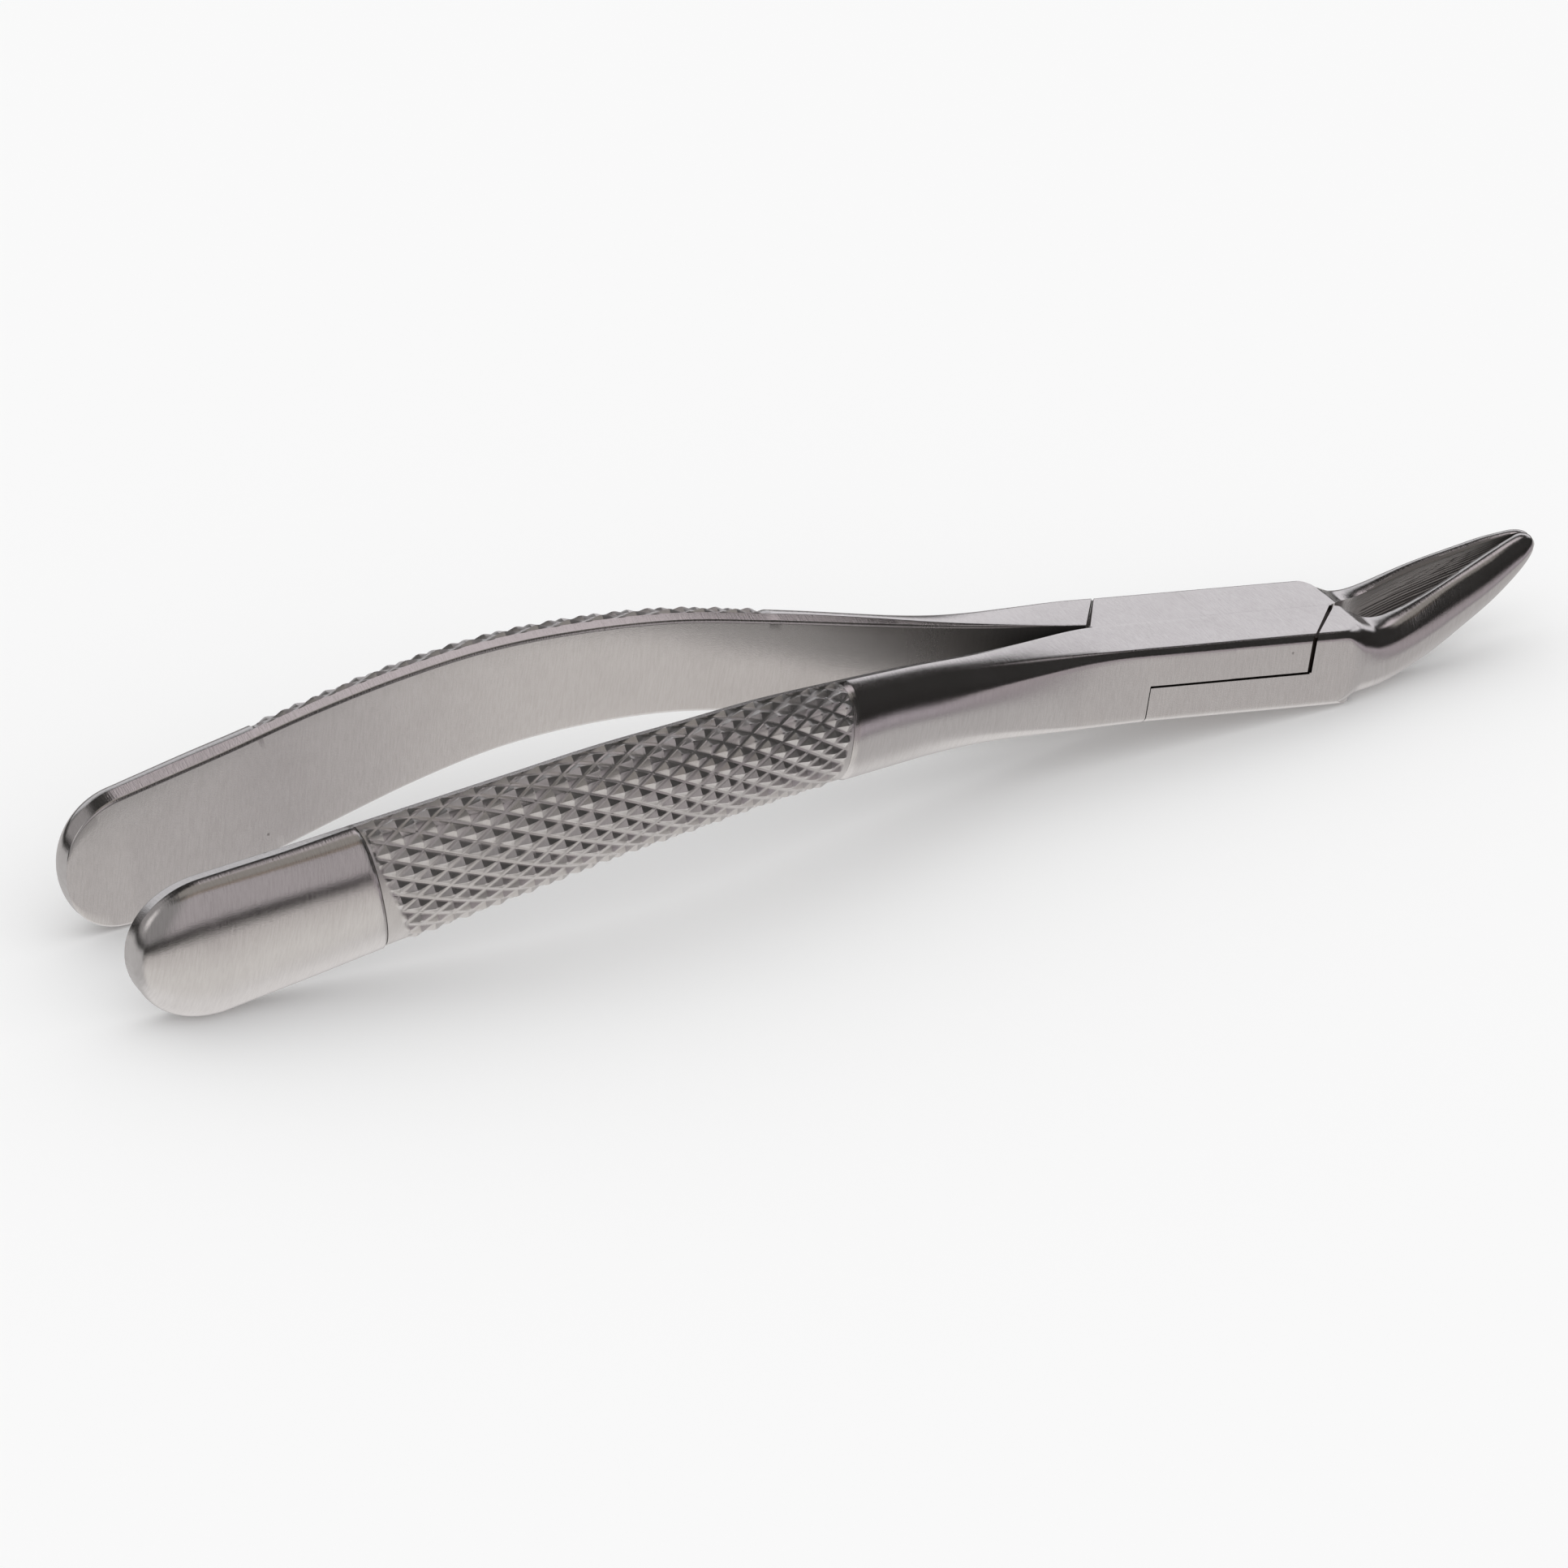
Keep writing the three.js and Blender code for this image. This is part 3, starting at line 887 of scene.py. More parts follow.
@dataclass
class LapJoint:
    """Plates, shoulders and rivet holes of the crossing."""

    half_width: float = 6.75
    half_height: float = 4.2
    edge_round: float = 0.8
    back: Shoulder = Shoulder(11.85, 33.3)
    front: Shoulder = Shoulder(11.6, 41.5)
    shoulder_gap: float = 0.01
    own_side: float = 9.0
    groove_depth: float = 0.35
    lap_line: float = 0.14
    lap_gap: float = 0.09
    skin: float = 0.004
    nose: tuple[tuple[float, float], ...] = (
        (15.85, 1.6), (16.05, 3.0), (16.1, 4.2), (15.95, 5.1), (15.5, 5.8), (14.7, 6.35), (13.4, 6.85),
    )

    def room(self, level: Level) -> bpy.types.Object:
        """Space that a half leaves free for the other half's plate.

        Args:
            level: level of the half's own plate.

        Returns:
            The tool to cut with.
        """
        f, far, g = level.value, 12.0, self.shoulder_gap
        wide = 0.02
        outline = [
            (-self.back.x_at(0, g + wide * 0.5), 0.0),
            (-self.back.x_at(far, g), -far * f),
            (30.0, -far * f),
            (30.0, 0.0),
            (self.front.x_at(0, g + wide), 0.0),
            (self.front.x_at(far, g), far * f),
            (-30.0, far * f),
            (-30.0, 0.0),
        ]
        low, high = (-12.0, self.lap_gap) if level is Level.UPPER else (-self.lap_gap, 12.0)
        return mesh_object("room", *prism(outline, low, high))

    def grooves(self) -> Iterator[bpy.types.Object]:
        """Shallow open lines where the shoulders and the lap meet the outside.

        Yields:
            One cutting tool at a time.
        """
        w, h, d, out = self.half_width, self.half_height, self.groove_depth, 9.0
        for level in Level:
            f = level.value
            for shoulder, way, side, at_fork, at_edge, on_side in (
                (self.back, -1, f, 0.24, 0.07, 0.07), (self.front, 1, -f, 0.24, 0.08, 0.2),
            ):
                def at(y: float, grow: float) -> tuple[float, float]:
                    """Plan point on the shoulder line at |y|, moved out by grow."""
                    return way * shoulder.x_at(y, grow), side * y

                top = [at(0, -at_fork), at(out, -at_edge), at(out, at_edge), at(0, at_fork)]
                edge = [at(w - d, -on_side), at(out, -on_side), at(out, on_side), at(w - d, on_side)]
                for plan, low in ((top, h - d), (edge, 0.0)):
                    yield mesh_object("groove", *prism(plan, *sorted((f * low, f * (h + 1)))))
        for side in (-1, 1):
            ends = (-self.back.x_at(w, 0.03), self.front.x_at(w, 0.03))
            near, off = side * (w - d), side * out
            plan = [(ends[0], near), (ends[1], near), (ends[1], off), (ends[0], off)]
            yield mesh_object("groove", *prism(plan, -self.lap_line, self.lap_line))

    def plate(self, level: Level) -> bpy.types.Object:
        """Lap plate with rounded long edges.

        Args:
            level: which plate it is.

        Returns:
            The plate as a solid.
        """
        w, h, r = self.half_width - self.skin, self.half_height - self.skin, self.edge_round
        outer = bar_outer(0.0, w, h, r)
        half = outer[len(outer) // 2:]
        half = half[half[:, 1] > self.lap_gap]
        profile = np.vstack([
            [[w, self.lap_gap]], half[:-1], [[0.0, h]],
            (half[:-1] * [-1, 1])[::-1], [[-w, self.lap_gap]],
        ])
        stops = np.linspace(-18, 18, 5)
        rings = [
            np.stack([np.full(len(profile), x), profile[:, 0], level.value * profile[:, 1]], 1) for x in stops
        ]
        bar = mesh_object("plate", *loft(rings))
        f, g = level.value, -self.shoulder_gap
        outline = [
            (-self.back.x_at(0, g), 0.0),
            (-self.back.x_at(0, g) + 1.0, -0.6 * f),
            (-self.own_side, -0.6 * f),
            (-self.own_side, -w * f * 1.01),
            (self.front.x_at(w * 1.01, g), -w * f * 1.01),
            (self.front.x_at(0, g), 0.0),
            *[(x, y * f) for x, y in self.nose],
            (-self.back.x_at(w * 1.01, g), w * f * 1.01),
        ]
        cut(bar, mesh_object("plan", *prism(outline, -9, 9)), "INTERSECT")
        return bar


@dataclass
class Rivet:
    """Rivet pin with conical heads, ground flush; its upper end is hidden under a thin skin."""

    radius: float = 2.7
    head_radius: float = 3.9
    head_depth: float = 1.3
    sides: int = 96
    half_height: float = 4.2
    skin: float = 0.05

    def body(self, name: str, grow: float, low: float, high: float) -> bpy.types.Object:
        """Turned solid with conical ends.

        Args:
            name: object name.
            grow: how much wider than the rivet it is.
            low: height of its lower end.
            high: height of its upper end.

        Returns:
            The object.
        """
        cone = self.head_radius - self.radius
        h, d = self.half_height, self.head_depth

        def radius(z: float) -> float:
            """Radius of the rivet at height z."""
            return self.radius + cone * max(0.0, (abs(z) - (h - d)) / d)

        heights = sorted({low, -h + d, h - d, high})
        a = np.linspace(0, 2 * math.pi, self.sides, endpoint=False)
        around = np.stack([np.cos(a), np.sin(a), np.zeros(self.sides)], 1)
        rings = [(radius(z) + grow) * around + [0, 0, z] for z in heights]
        return mesh_object(name, *loft(rings))

    def build(self) -> bpy.types.Object:
        """Makes the visible rivet.

        Returns:
            The object.
        """
        obj = self.body("rivet", 0.0, -self.half_height, self.half_height - self.skin - 0.02)
        shade(obj, 25)
        return obj


# ---------------------------------------------------------------- shader helpers


class Nodes:
    """Small writer for shader node trees."""

    def __init__(self, tree: bpy.types.NodeTree) -> None:
        """Wraps a tree."""
        self.tree = tree

    def add(self, kind: str, settings: dict[str, Any] | None = None, **inputs: Any) -> Any:
        """Adds a node.

        Args:
            kind: node type.
            settings: attributes to set on the node.
            **inputs: socket values or links, with spaces in socket names written as _.

        Returns:
            The node.
        """
        node = self.tree.nodes.new(kind)
        for key, value in (settings or {}).items():
            setattr(node, key, value)
        for key, value in inputs.items():
            numbered = key[0] == "i" and key[1:].isdigit()
            self.feed(node.inputs[int(key[1:]) if numbered else key.replace("_", " ")], value)
        return node

    def feed(self, socket: Any, value: Any) -> None:
        """Links or sets one socket.

        Args:
            socket: input socket.
            value: socket to link, or value to set.
        """
        if isinstance(value, bpy.types.NodeSocket):
            self.tree.links.new(value, socket)
        else:
            socket.default_value = value

    def math(self, operation: str, a: Any, b: Any = 0.0, clamp: bool = False) -> Any:
        """Output of a math node."""
        return self.add("ShaderNodeMath", {"operation": operation, "use_clamp": clamp}, i0=a, i1=b).outputs[0]

    def mix(self, factor: Any, a: Any, b: Any) -> Any:
        """Colour mix.

        Args:
            factor: 0 gives a, 1 gives b.
            a: first colour.
            b: second colour.

        Returns:
            The mixed colour's socket.
        """
        node = self.tree.nodes.new("ShaderNodeMix")
        node.data_type = "RGBA"
        self.feed(node.inputs[0], factor)
        self.feed(node.inputs[6], a)
        self.feed(node.inputs[7], b)
        return node.outputs[2]

    def span(self, value: Any, low: float, high: float, to_low: float, to_high: float) -> Any:
        """Clamped map of a value from one span to another."""
        spans = {"i1": low, "i2": high, "i3": to_low, "i4": to_high}
        return self.add("ShaderNodeMapRange", None, i0=value, **spans).outputs[0]


def brushed_group() -> bpy.types.NodeTree:
    """Shader group: fine directional polish lines and grain.

    Returns:
        A tree that gives a height for bump, and masks of the lines and the grain.
    """
    tree = bpy.data.node_groups.get("brushed_steel")
    if tree:
        return tree
    tree = bpy.data.node_groups.new("brushed_steel", "ShaderNodeTree")
    face = tree.interface
    face.new_socket("Vector", in_out="INPUT", socket_type="NodeSocketVector")
    for name, value in (("Line Scale", 1.0), ("Grain Scale", 1.0), ("Line Amount", 0.5)):
        face.new_socket(name, in_out="INPUT", socket_type="NodeSocketFloat").default_value = value
    for name in ("Height", "Lines", "Grain"):
        face.new_socket(name, in_out="OUTPUT", socket_type="NodeSocketFloat")
    n = Nodes(tree)
    start = tree.nodes.new("NodeGroupInput")
    end = tree.nodes.new("NodeGroupOutput")
    stretch = n.add("ShaderNodeMapping", None, Vector=start.outputs["Vector"])
    stretch.inputs["Scale"].default_value = (6500.0, 700.0, 700.0)
    scaled = n.add("ShaderNodeVectorMath", {"operation": "SCALE"}, i0=stretch.outputs[0])
    n.feed(scaled.inputs["Scale"], start.outputs["Line Scale"])
    lines = n.add("ShaderNodeTexNoise", None, Vector=scaled.outputs[0], Scale=1.0, Detail=3.0, Roughness=0.6)
    grain_at = n.add("ShaderNodeVectorMath", {"operation": "SCALE"}, i0=start.outputs["Vector"])
    n.feed(grain_at.inputs["Scale"], n.math("MULTIPLY", start.outputs["Grain Scale"], 9000.0))
    fine = {"Scale": 1.0, "Detail": 2.0, "Roughness": 0.7}
    grain = n.add("ShaderNodeTexNoise", None, Vector=grain_at.outputs[0], **fine)
    amount = start.outputs["Line Amount"]
    a = n.math("MULTIPLY", lines.outputs[0], amount)
    b = n.math("MULTIPLY", grain.outputs[0], n.math("SUBTRACT", 1.0, amount))
    tree.links.new(n.math("ADD", a, b), end.inputs["Height"])
    tree.links.new(lines.outputs[0], end.inputs["Lines"])
    tree.links.new(grain.outputs[0], end.inputs["Grain"])
    return tree


def handling_group() -> bpy.types.NodeTree:
    """Shader group: marks left by use and cleaning.

    Returns:
        A tree that gives masks of soft smudges and small dark specks.
    """
    tree = bpy.data.node_groups.get("handling")
    if tree:
        return tree
    tree = bpy.data.node_groups.new("handling", "ShaderNodeTree")
    face = tree.interface
    face.new_socket("Vector", in_out="INPUT", socket_type="NodeSocketVector")
    face.new_socket("Speck Amount", in_out="INPUT", socket_type="NodeSocketFloat").default_value = 1.0
    for name in ("Smudge", "Specks"):
        face.new_socket(name, in_out="OUTPUT", socket_type="NodeSocketFloat")
    n = Nodes(tree)
    start = tree.nodes.new("NodeGroupInput")
    end = tree.nodes.new("NodeGroupOutput")
    wide = {"Scale": 260.0, "Detail": 4.0, "Roughness": 0.55}
    smudge = n.add("ShaderNodeTexNoise", None, Vector=start.outputs["Vector"], **wide)
    tree.links.new(n.span(smudge.outputs[0], 0.42, 0.72, 0.0, 1.0), end.inputs["Smudge"])
    cells = n.add("ShaderNodeTexVoronoi", None, Vector=start.outputs["Vector"], Scale=420.0)
    dots = n.span(cells.outputs["Distance"], 0.03, 0.09, 1.0, 0.0)
    chance = n.add("ShaderNodeSeparateColor", None, Color=cells.outputs["Color"])
    rare = n.span(chance.outputs[0], 0.93, 0.95, 0.0, 1.0)
    specks = n.math("MULTIPLY", n.math("MULTIPLY", dots, rare), start.outputs["Speck Amount"])
    tree.links.new(specks, end.inputs["Specks"])
    return tree


@dataclass(frozen=True)
class Steel:
    """One stainless finish."""

    name: str
    color: tuple[float, float, float]
    shadow: tuple[float, float, float]
    roughness: float
    rough_swing: float
    line_amount: float
    line_scale: float
    bump: float
    specks: float = 1.0
    smudges: float = 0.35
    # Colour of the painted shade in the joint's gaps, the beak hollows and the fork.
    painted_shade_color: tuple[float, float, float] = (0.05, 0.04, 0.035)

    def material(self) -> bpy.types.Material:
        """Makes the node material, once.

        Returns:
            The material.
        """
        found = bpy.data.materials.get(self.name)
        if found:
            return found
        made = bpy.data.materials.new(self.name)
        made.use_nodes = True
        tree = made.node_tree
        tree.nodes.clear()
        n = Nodes(tree)
        where = tree.nodes.new("ShaderNodeTexCoord").outputs["Object"]
        level = n.add("ShaderNodeMapping", None, Vector=where)
        level.inputs["Rotation"].default_value = (0.0, math.radians(-FRAME.tilt_deg), 0.0)
        brushed = n.add("ShaderNodeGroup", {"node_tree": brushed_group()}, Vector=level.outputs[0])
        brushed.inputs["Line Amount"].default_value = self.line_amount
        brushed.inputs["Line Scale"].default_value = self.line_scale
        marks = n.add("ShaderNodeGroup", {"node_tree": handling_group()}, Vector=where)
        marks.inputs["Speck Amount"].default_value = self.specks
        smudge = n.math("MULTIPLY", marks.outputs["Smudge"], self.smudges)
        base = n.mix(smudge, (*self.color, 1.0), (*self.shadow, 1.0))
        base = n.mix(n.span(brushed.outputs["Lines"], 0.4, 0.66, 0.0, 0.35), base, (*self.shadow, 1.0))
        base = n.mix(n.math("MULTIPLY", marks.outputs["Specks"], 0.6), base, (0.10, 0.09, 0.085, 1.0))
        # Painted shade: the stored amount darkens the colour in the joint's gaps, beak hollows and fork, and
        # also roughens those faces.
        painted_shade = n.add("ShaderNodeAttribute", {"attribute_name": "painted_shade"}).outputs["Fac"]
        base = n.mix(painted_shade, base, (*self.painted_shade_color, 1.0))
        low, high = self.roughness - self.rough_swing, self.roughness + self.rough_swing
        rough = n.span(brushed.outputs["Height"], 0.3, 0.7, low, high)
        rough = n.math("ADD", rough, n.math("MULTIPLY", smudge, 0.12))
        rough = n.math("ADD", rough, n.math("MULTIPLY", painted_shade, 0.35), clamp=True)
        bump = n.add("ShaderNodeBump", None, Height=brushed.outputs["Height"])
        bump.inputs["Strength"].default_value = self.bump
        bump.inputs["Distance"].default_value = 0.00004
        links = {"Base_Color": base, "Roughness": rough, "Normal": bump.outputs[0]}
        shader = n.add("ShaderNodeBsdfPrincipled", None, **links)
        shader.inputs["Metallic"].default_value = 1.0
        end = tree.nodes.new("ShaderNodeOutputMaterial")
        tree.links.new(shader.outputs[0], end.inputs["Surface"])
        made.diffuse_color = (*self.color, 1.0)
        made.metallic = 1.0
        made.roughness = self.roughness
        return made


class Finishes:
    """Every finish on the instrument."""

    FORGED = Steel(
        "satin_forged_steel", (0.69, 0.682, 0.676), (0.59, 0.575, 0.565), roughness=0.15, rough_swing=0.04,
        line_amount=0.6, line_scale=1.0, bump=0.5, specks=1.0, smudges=0.2,
    )
    KNURL = Steel(
        "knurled_steel", (0.66, 0.65, 0.64), (0.56, 0.545, 0.53), roughness=0.31, rough_swing=0.06,
        line_amount=0.35, line_scale=1.0, bump=0.4, specks=0.0,
    )
    PIN = Steel(
        "rivet_steel", (0.70, 0.68, 0.67), (0.62, 0.60, 0.59), roughness=0.22, rough_swing=0.04,
        line_amount=0.3, line_scale=1.0, bump=0.3, specks=0.0,
    )


# ---------------------------------------------------------------- assembly


@dataclass(frozen=True)
class ShadePaint:
    """Painted shade on a forging, from 0 to 1: colour darkened where shade falls in the joint's gaps, the
    beak hollows and the fork between the handles.
    """

    hollow: float = 0.62
    hollow_from: float = 18.0
    hollow_run: float = 3.0
    fork: float = 0.8
    fork_from: float = -52.0
    fork_run: float = 34.0
    fork_end: float = -14.0
    near_line: float = 0.45

    def amounts(self, at: np.ndarray, out: np.ndarray, joint: LapJoint) -> np.ndarray:
        """Painted shade of every face: how far its colour is darkened where shade falls.

        Args:
            at: middles of the faces, joint frame.
            out: outward directions of the faces, joint frame.
            joint: the lap joint the faces belong to.

        Returns:
            One number per face.
        """
        painted_shade = np.zeros(len(at))
        up, wide = np.abs(at[:, 2]), np.abs(at[:, 1])
        inside = ((up < 4.08) & (wide < 5.9)) | ((up < 3.3) & (wide < 6.62))
        # Painted shade in the joint's gaps: lap faces and shoulder walls inside the joint get fully darkened
        # colour.
        joint_gap = (up < 0.2) & (np.abs(at[:, 0]) < 17) & (np.abs(out[:, 2]) > 0.9)
        joint_gap |= inside & (up < 0.3) & (np.abs(at[:, 0]) < 12)
        for shoulder, way in ((joint.back, -1), (joint.front, 1)):
            line = shoulder.x_at(0.0, 0.0) - wide * math.tan(math.radians(shoulder.lean_deg))
            joint_gap |= inside & (np.abs(way * at[:, 0] - line) < self.near_line)
        painted_shade[joint_gap] = 1.0
        inward = -out[:, 1] * np.sign(at[:, 1])
        # Painted shade in the beak hollows: inner faces past hollow_from are darkened in colour; the same
        # amount also makes them rougher.
        hollow = (at[:, 0] > self.hollow_from) & (inward > 0.25)
        reach = (at[hollow, 0] - self.hollow_from) / self.hollow_run
        painted_shade[hollow] = np.clip(reach, 0, 1) * self.hollow
        # Painted shade in the fork between the handles: inner faces darken more and more towards the crotch.
        fork = (at[:, 0] < self.fork_end) & (inward > 0.5)
        painted_shade[fork] = self.fork * np.clip((at[fork, 0] - self.fork_from) / self.fork_run, 0, 1) ** 2
        return painted_shade


@dataclass
class ForcepsHalf:
    """One forging: a handle, a lap plate and the beak across from the handle."""

    level: Level
    joint: LapJoint
    rivet: Rivet
    body: str
    node: str
    shade_paint: ShadePaint = ShadePaint()

    def arms(self) -> tuple[Grip, Beak]:
        """Chooses the arms of this half.

        Returns:
            The handle and the beak.
        """
        if self.level is Level.UPPER:
            return Grip(Side.NEAR, end_radius=8.5), Beak(Side.FAR)
        return Grip(Side.FAR), Beak(Side.NEAR)

    def forging(self, grip: Grip, beak: Beak) -> bpy.types.Object:
        """Joins handle, plate and beak into one solid.

        Args:
            grip: the handle.
            beak: the beak across from it.

        Returns:
            The forging, with the painted shade of its faces stored.
        """
        obj = grip.build(f"forging_{self.body}")
        tip = beak.build("beak")
        work = bmesh.new()
        work.from_mesh(obj.data)
        work.from_mesh(tip.data)
        work.to_mesh(obj.data)
        work.free()
        bpy.data.objects.remove(tip)
        cut(obj, self.joint.room(self.level), "DIFFERENCE")
        cut(obj, self.joint.plate(self.level), "UNION")
        for groove in self.joint.grooves():
            cut(obj, groove, "DIFFERENCE")
        h = self.rivet.half_height
        if self.level is Level.UPPER:
            hole = self.rivet.body("hole", 0.012, -h - 0.4, h - self.rivet.skin)
        else:
            hole = self.rivet.body("hole", 0.04, -h - 0.4, h + 0.4)
        cut(obj, hole, "DIFFERENCE")
        # Painted shade for the joint's gaps, the beak hollows and the fork between the handles.
        self.mark_painted_shade(obj)
        shade(obj, 24)
        return obj

    def mark_painted_shade(self, obj: bpy.types.Object) -> None:
        """Stores the painted shade of each face as a face attribute.

        Args:
            obj: the forging.
        """
        count = len(obj.data.polygons)
        centre, normal = np.empty(count * 3, np.float32), np.empty(count * 3, np.float32)
        obj.data.polygons.foreach_get("center", centre)
        obj.data.polygons.foreach_get("normal", normal)
        at = FRAME.to_joint(centre.reshape(-1, 3))
        out = normal.reshape(-1, 3) @ FRAME.matrix()
        layer = obj.data.attributes.new("painted_shade", "FLOAT", "FACE")
        layer.data.foreach_set("value", self.shade_paint.amounts(at, out, self.joint).astype(np.float32))

    def build(self) -> list[bpy.types.Object]:
        """Builds, dresses and rides the pieces of this half.

        Returns:
            The forging and its knurl.
        """
        grip, beak = self.arms()
        forging = self.forging(grip, beak)
        forging.data.materials.clear()
        forging.data.materials.append(Finishes.FORGED.material())
        knurl = Knurl(grip).build(f"knurl_{self.body}")
        knurl.data.shade_flat()
        for piece in (forging, knurl):
            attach(piece, self.body)
        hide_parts(self.node)
        return [forging, knurl]


@dataclass
class RivetPiece:
    """The rivet as a piece of its own."""

    rivet: Rivet
    body: str = "over"
    node: str = "pivot_pin"

    def build(self) -> list[bpy.types.Object]:
        """Builds, dresses and rides the rivet.

        Returns:
            The rivet, in a list.
        """
        obj = self.rivet.build()
        obj.data.materials.append(Finishes.PIN.material())
        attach(obj, self.body)
        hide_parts(self.node)
        return [obj]


# ---------------------------------------------------------------- stage


@dataclass(frozen=True)
class Panel:
    """One soft panel of the surroundings, by the directions it fills, in degrees."""

    turn: float
    half_turn: float
    low: float
    high: float
    color: tuple[float, float, float]
    soft_turn: float = 8.0
    soft_rise: float = 5.0


PANELS = (
    Panel(0, 180, -100, -25, (0.56, 0.535, 0.53), soft_rise=4),
    Panel(102, 92, -100, -9, (0.56, 0.54, 0.535), soft_turn=12, soft_rise=6),
    Panel(175, 36, 2, 60, (0.30, 0.285, 0.285), soft_turn=16, soft_rise=8),
    Panel(-110, 50, -100, -15, (0.67, 0.63, 0.61), soft_turn=24, soft_rise=6),
    Panel(-110, 52, -100, -31, (0.81, 0.775, 0.75), soft_turn=24, soft_rise=10),
    Panel(0, 180, -100, -54, (0.90, 0.87, 0.86), soft_rise=26),
    Panel(-28, 34, -23, -9, (0.45, 0.40, 0.43), soft_turn=8, soft_rise=6),
    Panel(-58, 16, -22, -1, (0.42, 0.37, 0.385), soft_turn=10, soft_rise=9),
    Panel(-122, 46, -1, 58, (0.29, 0.275, 0.275), soft_turn=16, soft_rise=6),
    Panel(-92, 20, -2, 60, (0.45, 0.41, 0.42), soft_turn=10, soft_rise=5),
    Panel(-96, 28, 58, 70, (0.28, 0.22, 0.18), soft_turn=14, soft_rise=5),
    Panel(0, 180, 68, 100, (0.31, 0.285, 0.265), soft_rise=8),
    Panel(48, 24, 48, 71, (0.70, 0.63, 0.65), soft_turn=10, soft_rise=6),
    Panel(84, 26, 2, 31, (0.66, 0.65, 0.67), soft_turn=10, soft_rise=6),
    Panel(40, 22, 4, 26, (0.86, 0.83, 0.86), soft_turn=8, soft_rise=5),
    Panel(132, 16, 4, 48, (0.33, 0.31, 0.31), soft_turn=12, soft_rise=8),
    Panel(166, 12, 16, 42, (0.84, 0.80, 0.79), soft_turn=10, soft_rise=8),
)


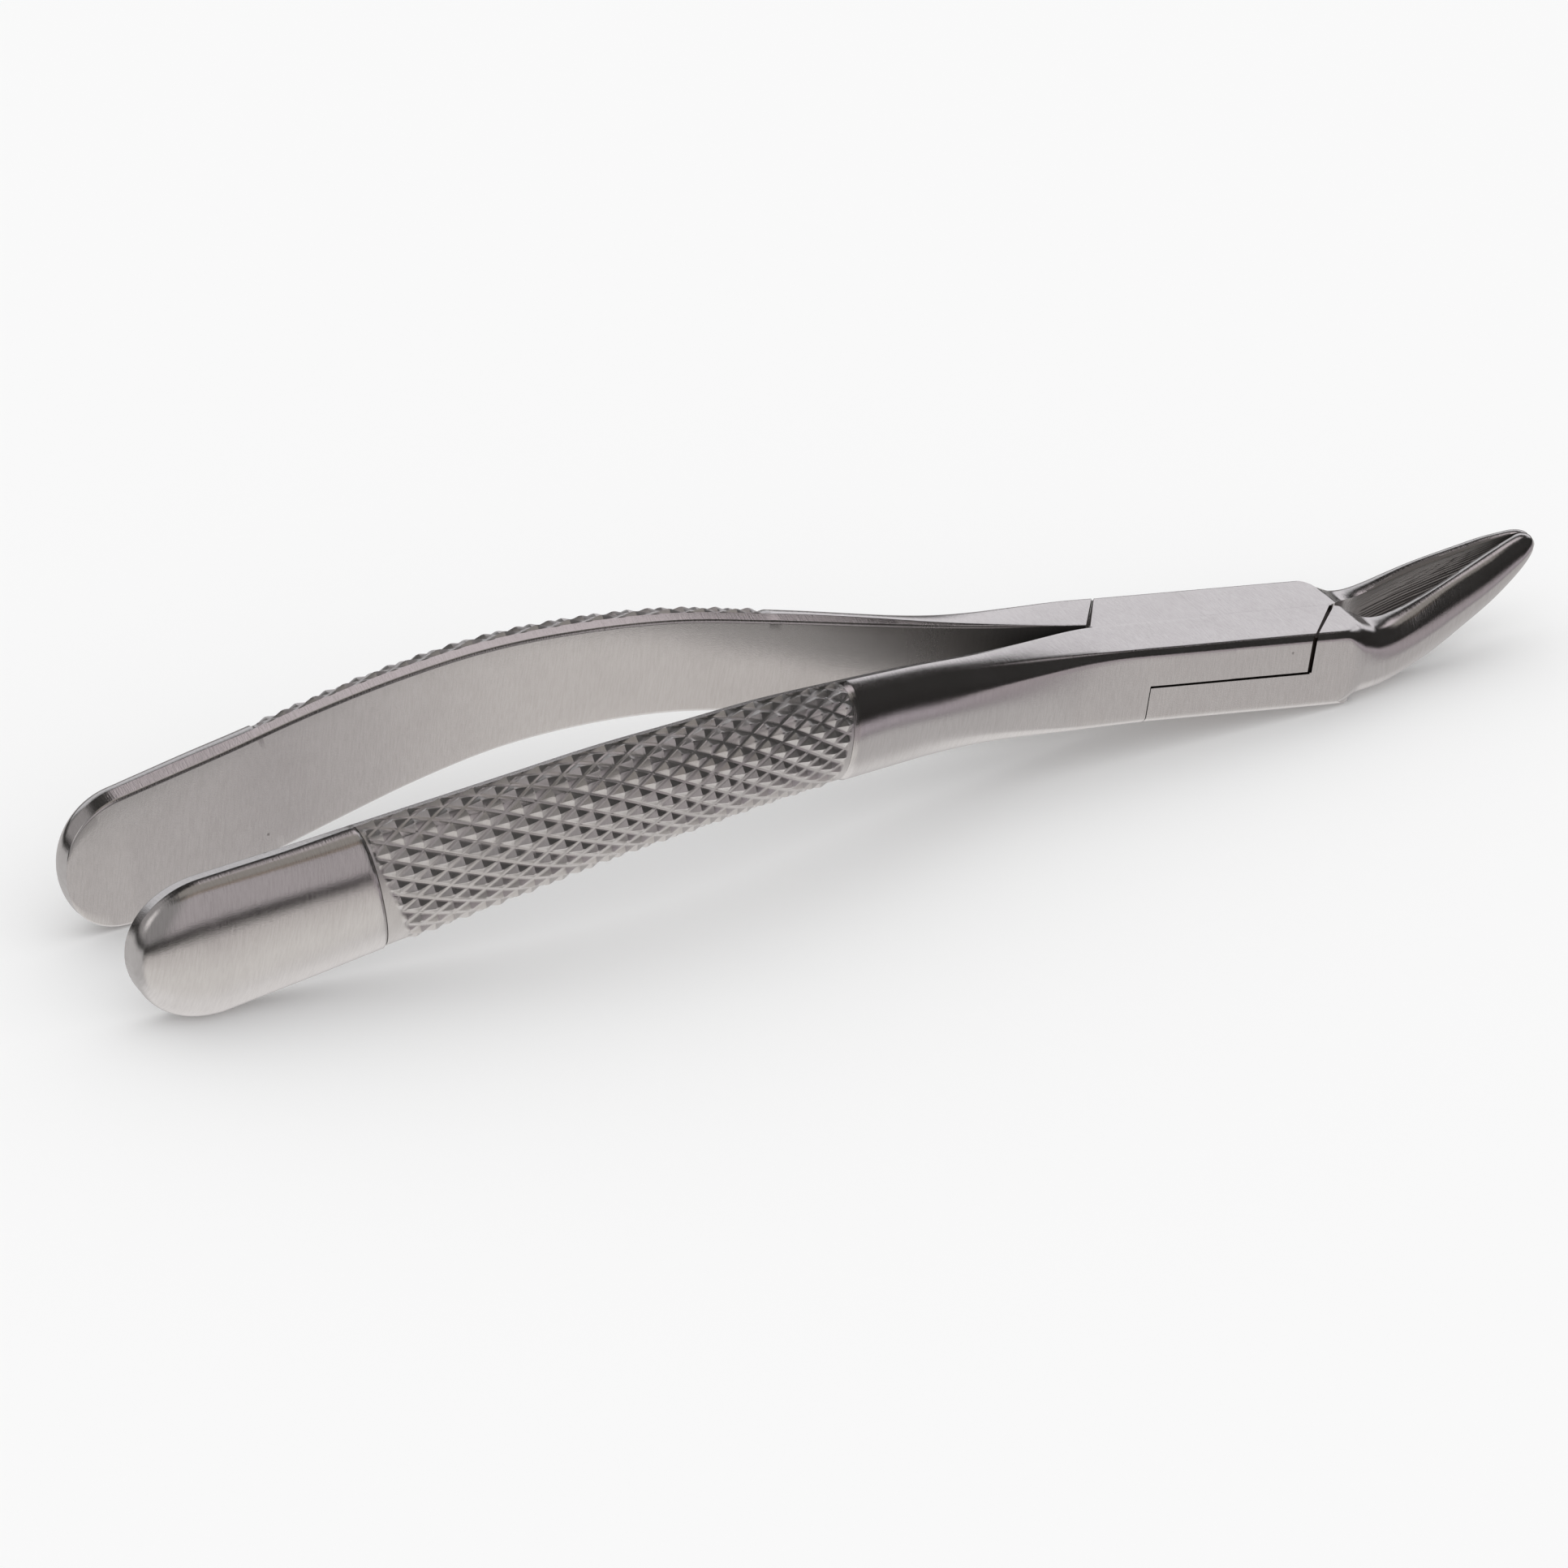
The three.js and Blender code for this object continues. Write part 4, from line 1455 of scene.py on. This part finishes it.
@dataclass
class Studio:
    """Plain pale floor, and soft panels with dark gaps between them for the metal."""

    floor_size: float = 8.0
    dark: tuple[float, float, float] = (0.016, 0.014, 0.013)
    white: float = 1.0

    def floor(self) -> bpy.types.Object:
        """Plain pale floor under the forceps.

        Returns:
            The floor.
        """
        s = self.floor_size / 2
        mesh = bpy.data.meshes.new("floor")
        mesh.from_pydata([(-s, -s, 0), (s, -s, 0), (s, s, 0), (-s, s, 0)], [], [(0, 1, 2, 3)])
        obj = bpy.data.objects.new("floor", mesh)
        bpy.context.scene.collection.objects.link(obj)
        made = bpy.data.materials.new("pale_floor")
        made.use_nodes = True
        shader = made.node_tree.nodes["Principled BSDF"]
        shader.inputs["Base Color"].default_value = (0.95, 0.95, 0.95, 1.0)
        shader.inputs["Roughness"].default_value = 1.0
        shader.inputs["Specular IOR Level"].default_value = 0.0
        mesh.materials.append(made)
        obj.visible_glossy = False
        return obj

    def panel(self, n: Nodes, turn: Any, rise: Any, panel: Panel, under: Any) -> Any:
        """Lays one panel over the colour found so far.

        Args:
            n: writer of the world's tree.
            turn: socket of the direction's turn.
            rise: socket of its rise.
            panel: the panel.
            under: colour under it.

        Returns:
            The colour with the panel.
        """
        off = n.math("SUBTRACT", turn, math.radians(panel.turn))
        off = n.add("ShaderNodeMath", {"operation": "WRAP"}, i0=off, i1=math.pi, i2=-math.pi).outputs[0]
        away = n.math("ABSOLUTE", off)
        edge, soft = math.radians(panel.half_turn), math.radians(panel.soft_turn)
        whole = panel.half_turn >= 180
        across = 1.0 if whole else self.soft_step(n, away, edge + soft / 2, edge - soft / 2)
        soft = math.radians(panel.soft_rise)
        low, high = math.radians(panel.low), math.radians(panel.high)
        up = self.soft_step(n, rise, low - soft / 2, low + soft / 2)
        down = self.soft_step(n, rise, high + soft / 2, high - soft / 2)
        cover = n.math("MULTIPLY", n.math("MULTIPLY", up, down), across)
        return n.mix(cover, under, (*panel.color, 1.0))

    @staticmethod
    def soft_step(n: Nodes, value: Any, low: float, high: float) -> Any:
        """Smooth 0 to 1 as value runs from low to high."""
        smooth = {"interpolation_type": "SMOOTHSTEP"}
        return n.add("ShaderNodeMapRange", smooth, i0=value, i1=low, i2=high, i3=0.0, i4=1.0).outputs[0]

    def surroundings(self) -> None:
        """World: plain white, with soft panels wherever the metal mirrors it."""
        world = bpy.data.worlds.new("studio")
        bpy.context.scene.world = world
        world.use_nodes = True
        tree = world.node_tree
        tree.nodes.clear()
        n = Nodes(tree)
        way = tree.nodes.new("ShaderNodeTexCoord").outputs["Generated"]
        parts = n.add("ShaderNodeSeparateXYZ", None, Vector=way)
        turn = n.math("ARCTAN2", parts.outputs["Y"], parts.outputs["X"])
        rise = n.math("ARCSINE", parts.outputs["Z"])
        color: Any = (*self.dark, 1.0)
        for panel in PANELS:
            color = self.panel(n, turn, rise, panel, color)
        panels = n.add("ShaderNodeBackground", None, Color=color, Strength=1.0)
        plain = n.add("ShaderNodeBackground", None, Color=(1.0, 1.0, 1.0, 1.0), Strength=self.white)
        path = tree.nodes.new("ShaderNodeLightPath")
        glossy = path.outputs["Is Glossy Ray"]
        both = n.add("ShaderNodeMixShader", None, i0=glossy, i1=plain.outputs[0], i2=panels.outputs[0])
        end = tree.nodes.new("ShaderNodeOutputWorld")
        tree.links.new(both.outputs[0], end.inputs["Surface"])

    def build(self) -> None:
        """Floor and surroundings."""
        self.floor()
        self.surroundings()


@dataclass
class Viewpoint:
    """Long-lens camera above and to the left of the near handle."""

    place_mm: tuple[float, float, float] = (-444.86, -822.53, 519.26)
    turn_deg: tuple[float, float, float] = (61.03, -0.478, -27.809)
    lens: float = 239.39

    def build(self) -> bpy.types.Object:
        """Creates the camera and makes it the scene's own.

        Returns:
            The camera.
        """
        data = bpy.data.cameras.new("camera")
        data.lens = self.lens
        data.sensor_width = 36.0
        data.clip_start = 0.05
        data.clip_end = 20.0
        cam = bpy.data.objects.new("camera", data)
        cam.location = Vector(self.place_mm) * MM
        cam.rotation_euler = [math.radians(a) for a in self.turn_deg]
        bpy.context.scene.collection.objects.link(cam)
        bpy.context.scene.camera = cam
        return cam


def main() -> None:
    """Builds the forceps, the studio and the camera in order."""
    logging.basicConfig(level=logging.INFO, format="%(name)s: %(message)s")
    bpy.context.scene.view_settings.view_transform = "Standard"
    joint, rivet = LapJoint(), Rivet()
    parts = [
        ForcepsHalf(Level.UPPER, joint, rivet, "over", "half_over"),
        ForcepsHalf(Level.LOWER, joint, rivet, "under", "half_under"),
        RivetPiece(rivet),
    ]
    for part in parts:
        for piece in part.build():
            LOG.info("%s: %d faces", piece.name, len(piece.data.polygons))
    Studio().build()
    Viewpoint().build()


if __name__ == "__main__":
    main()
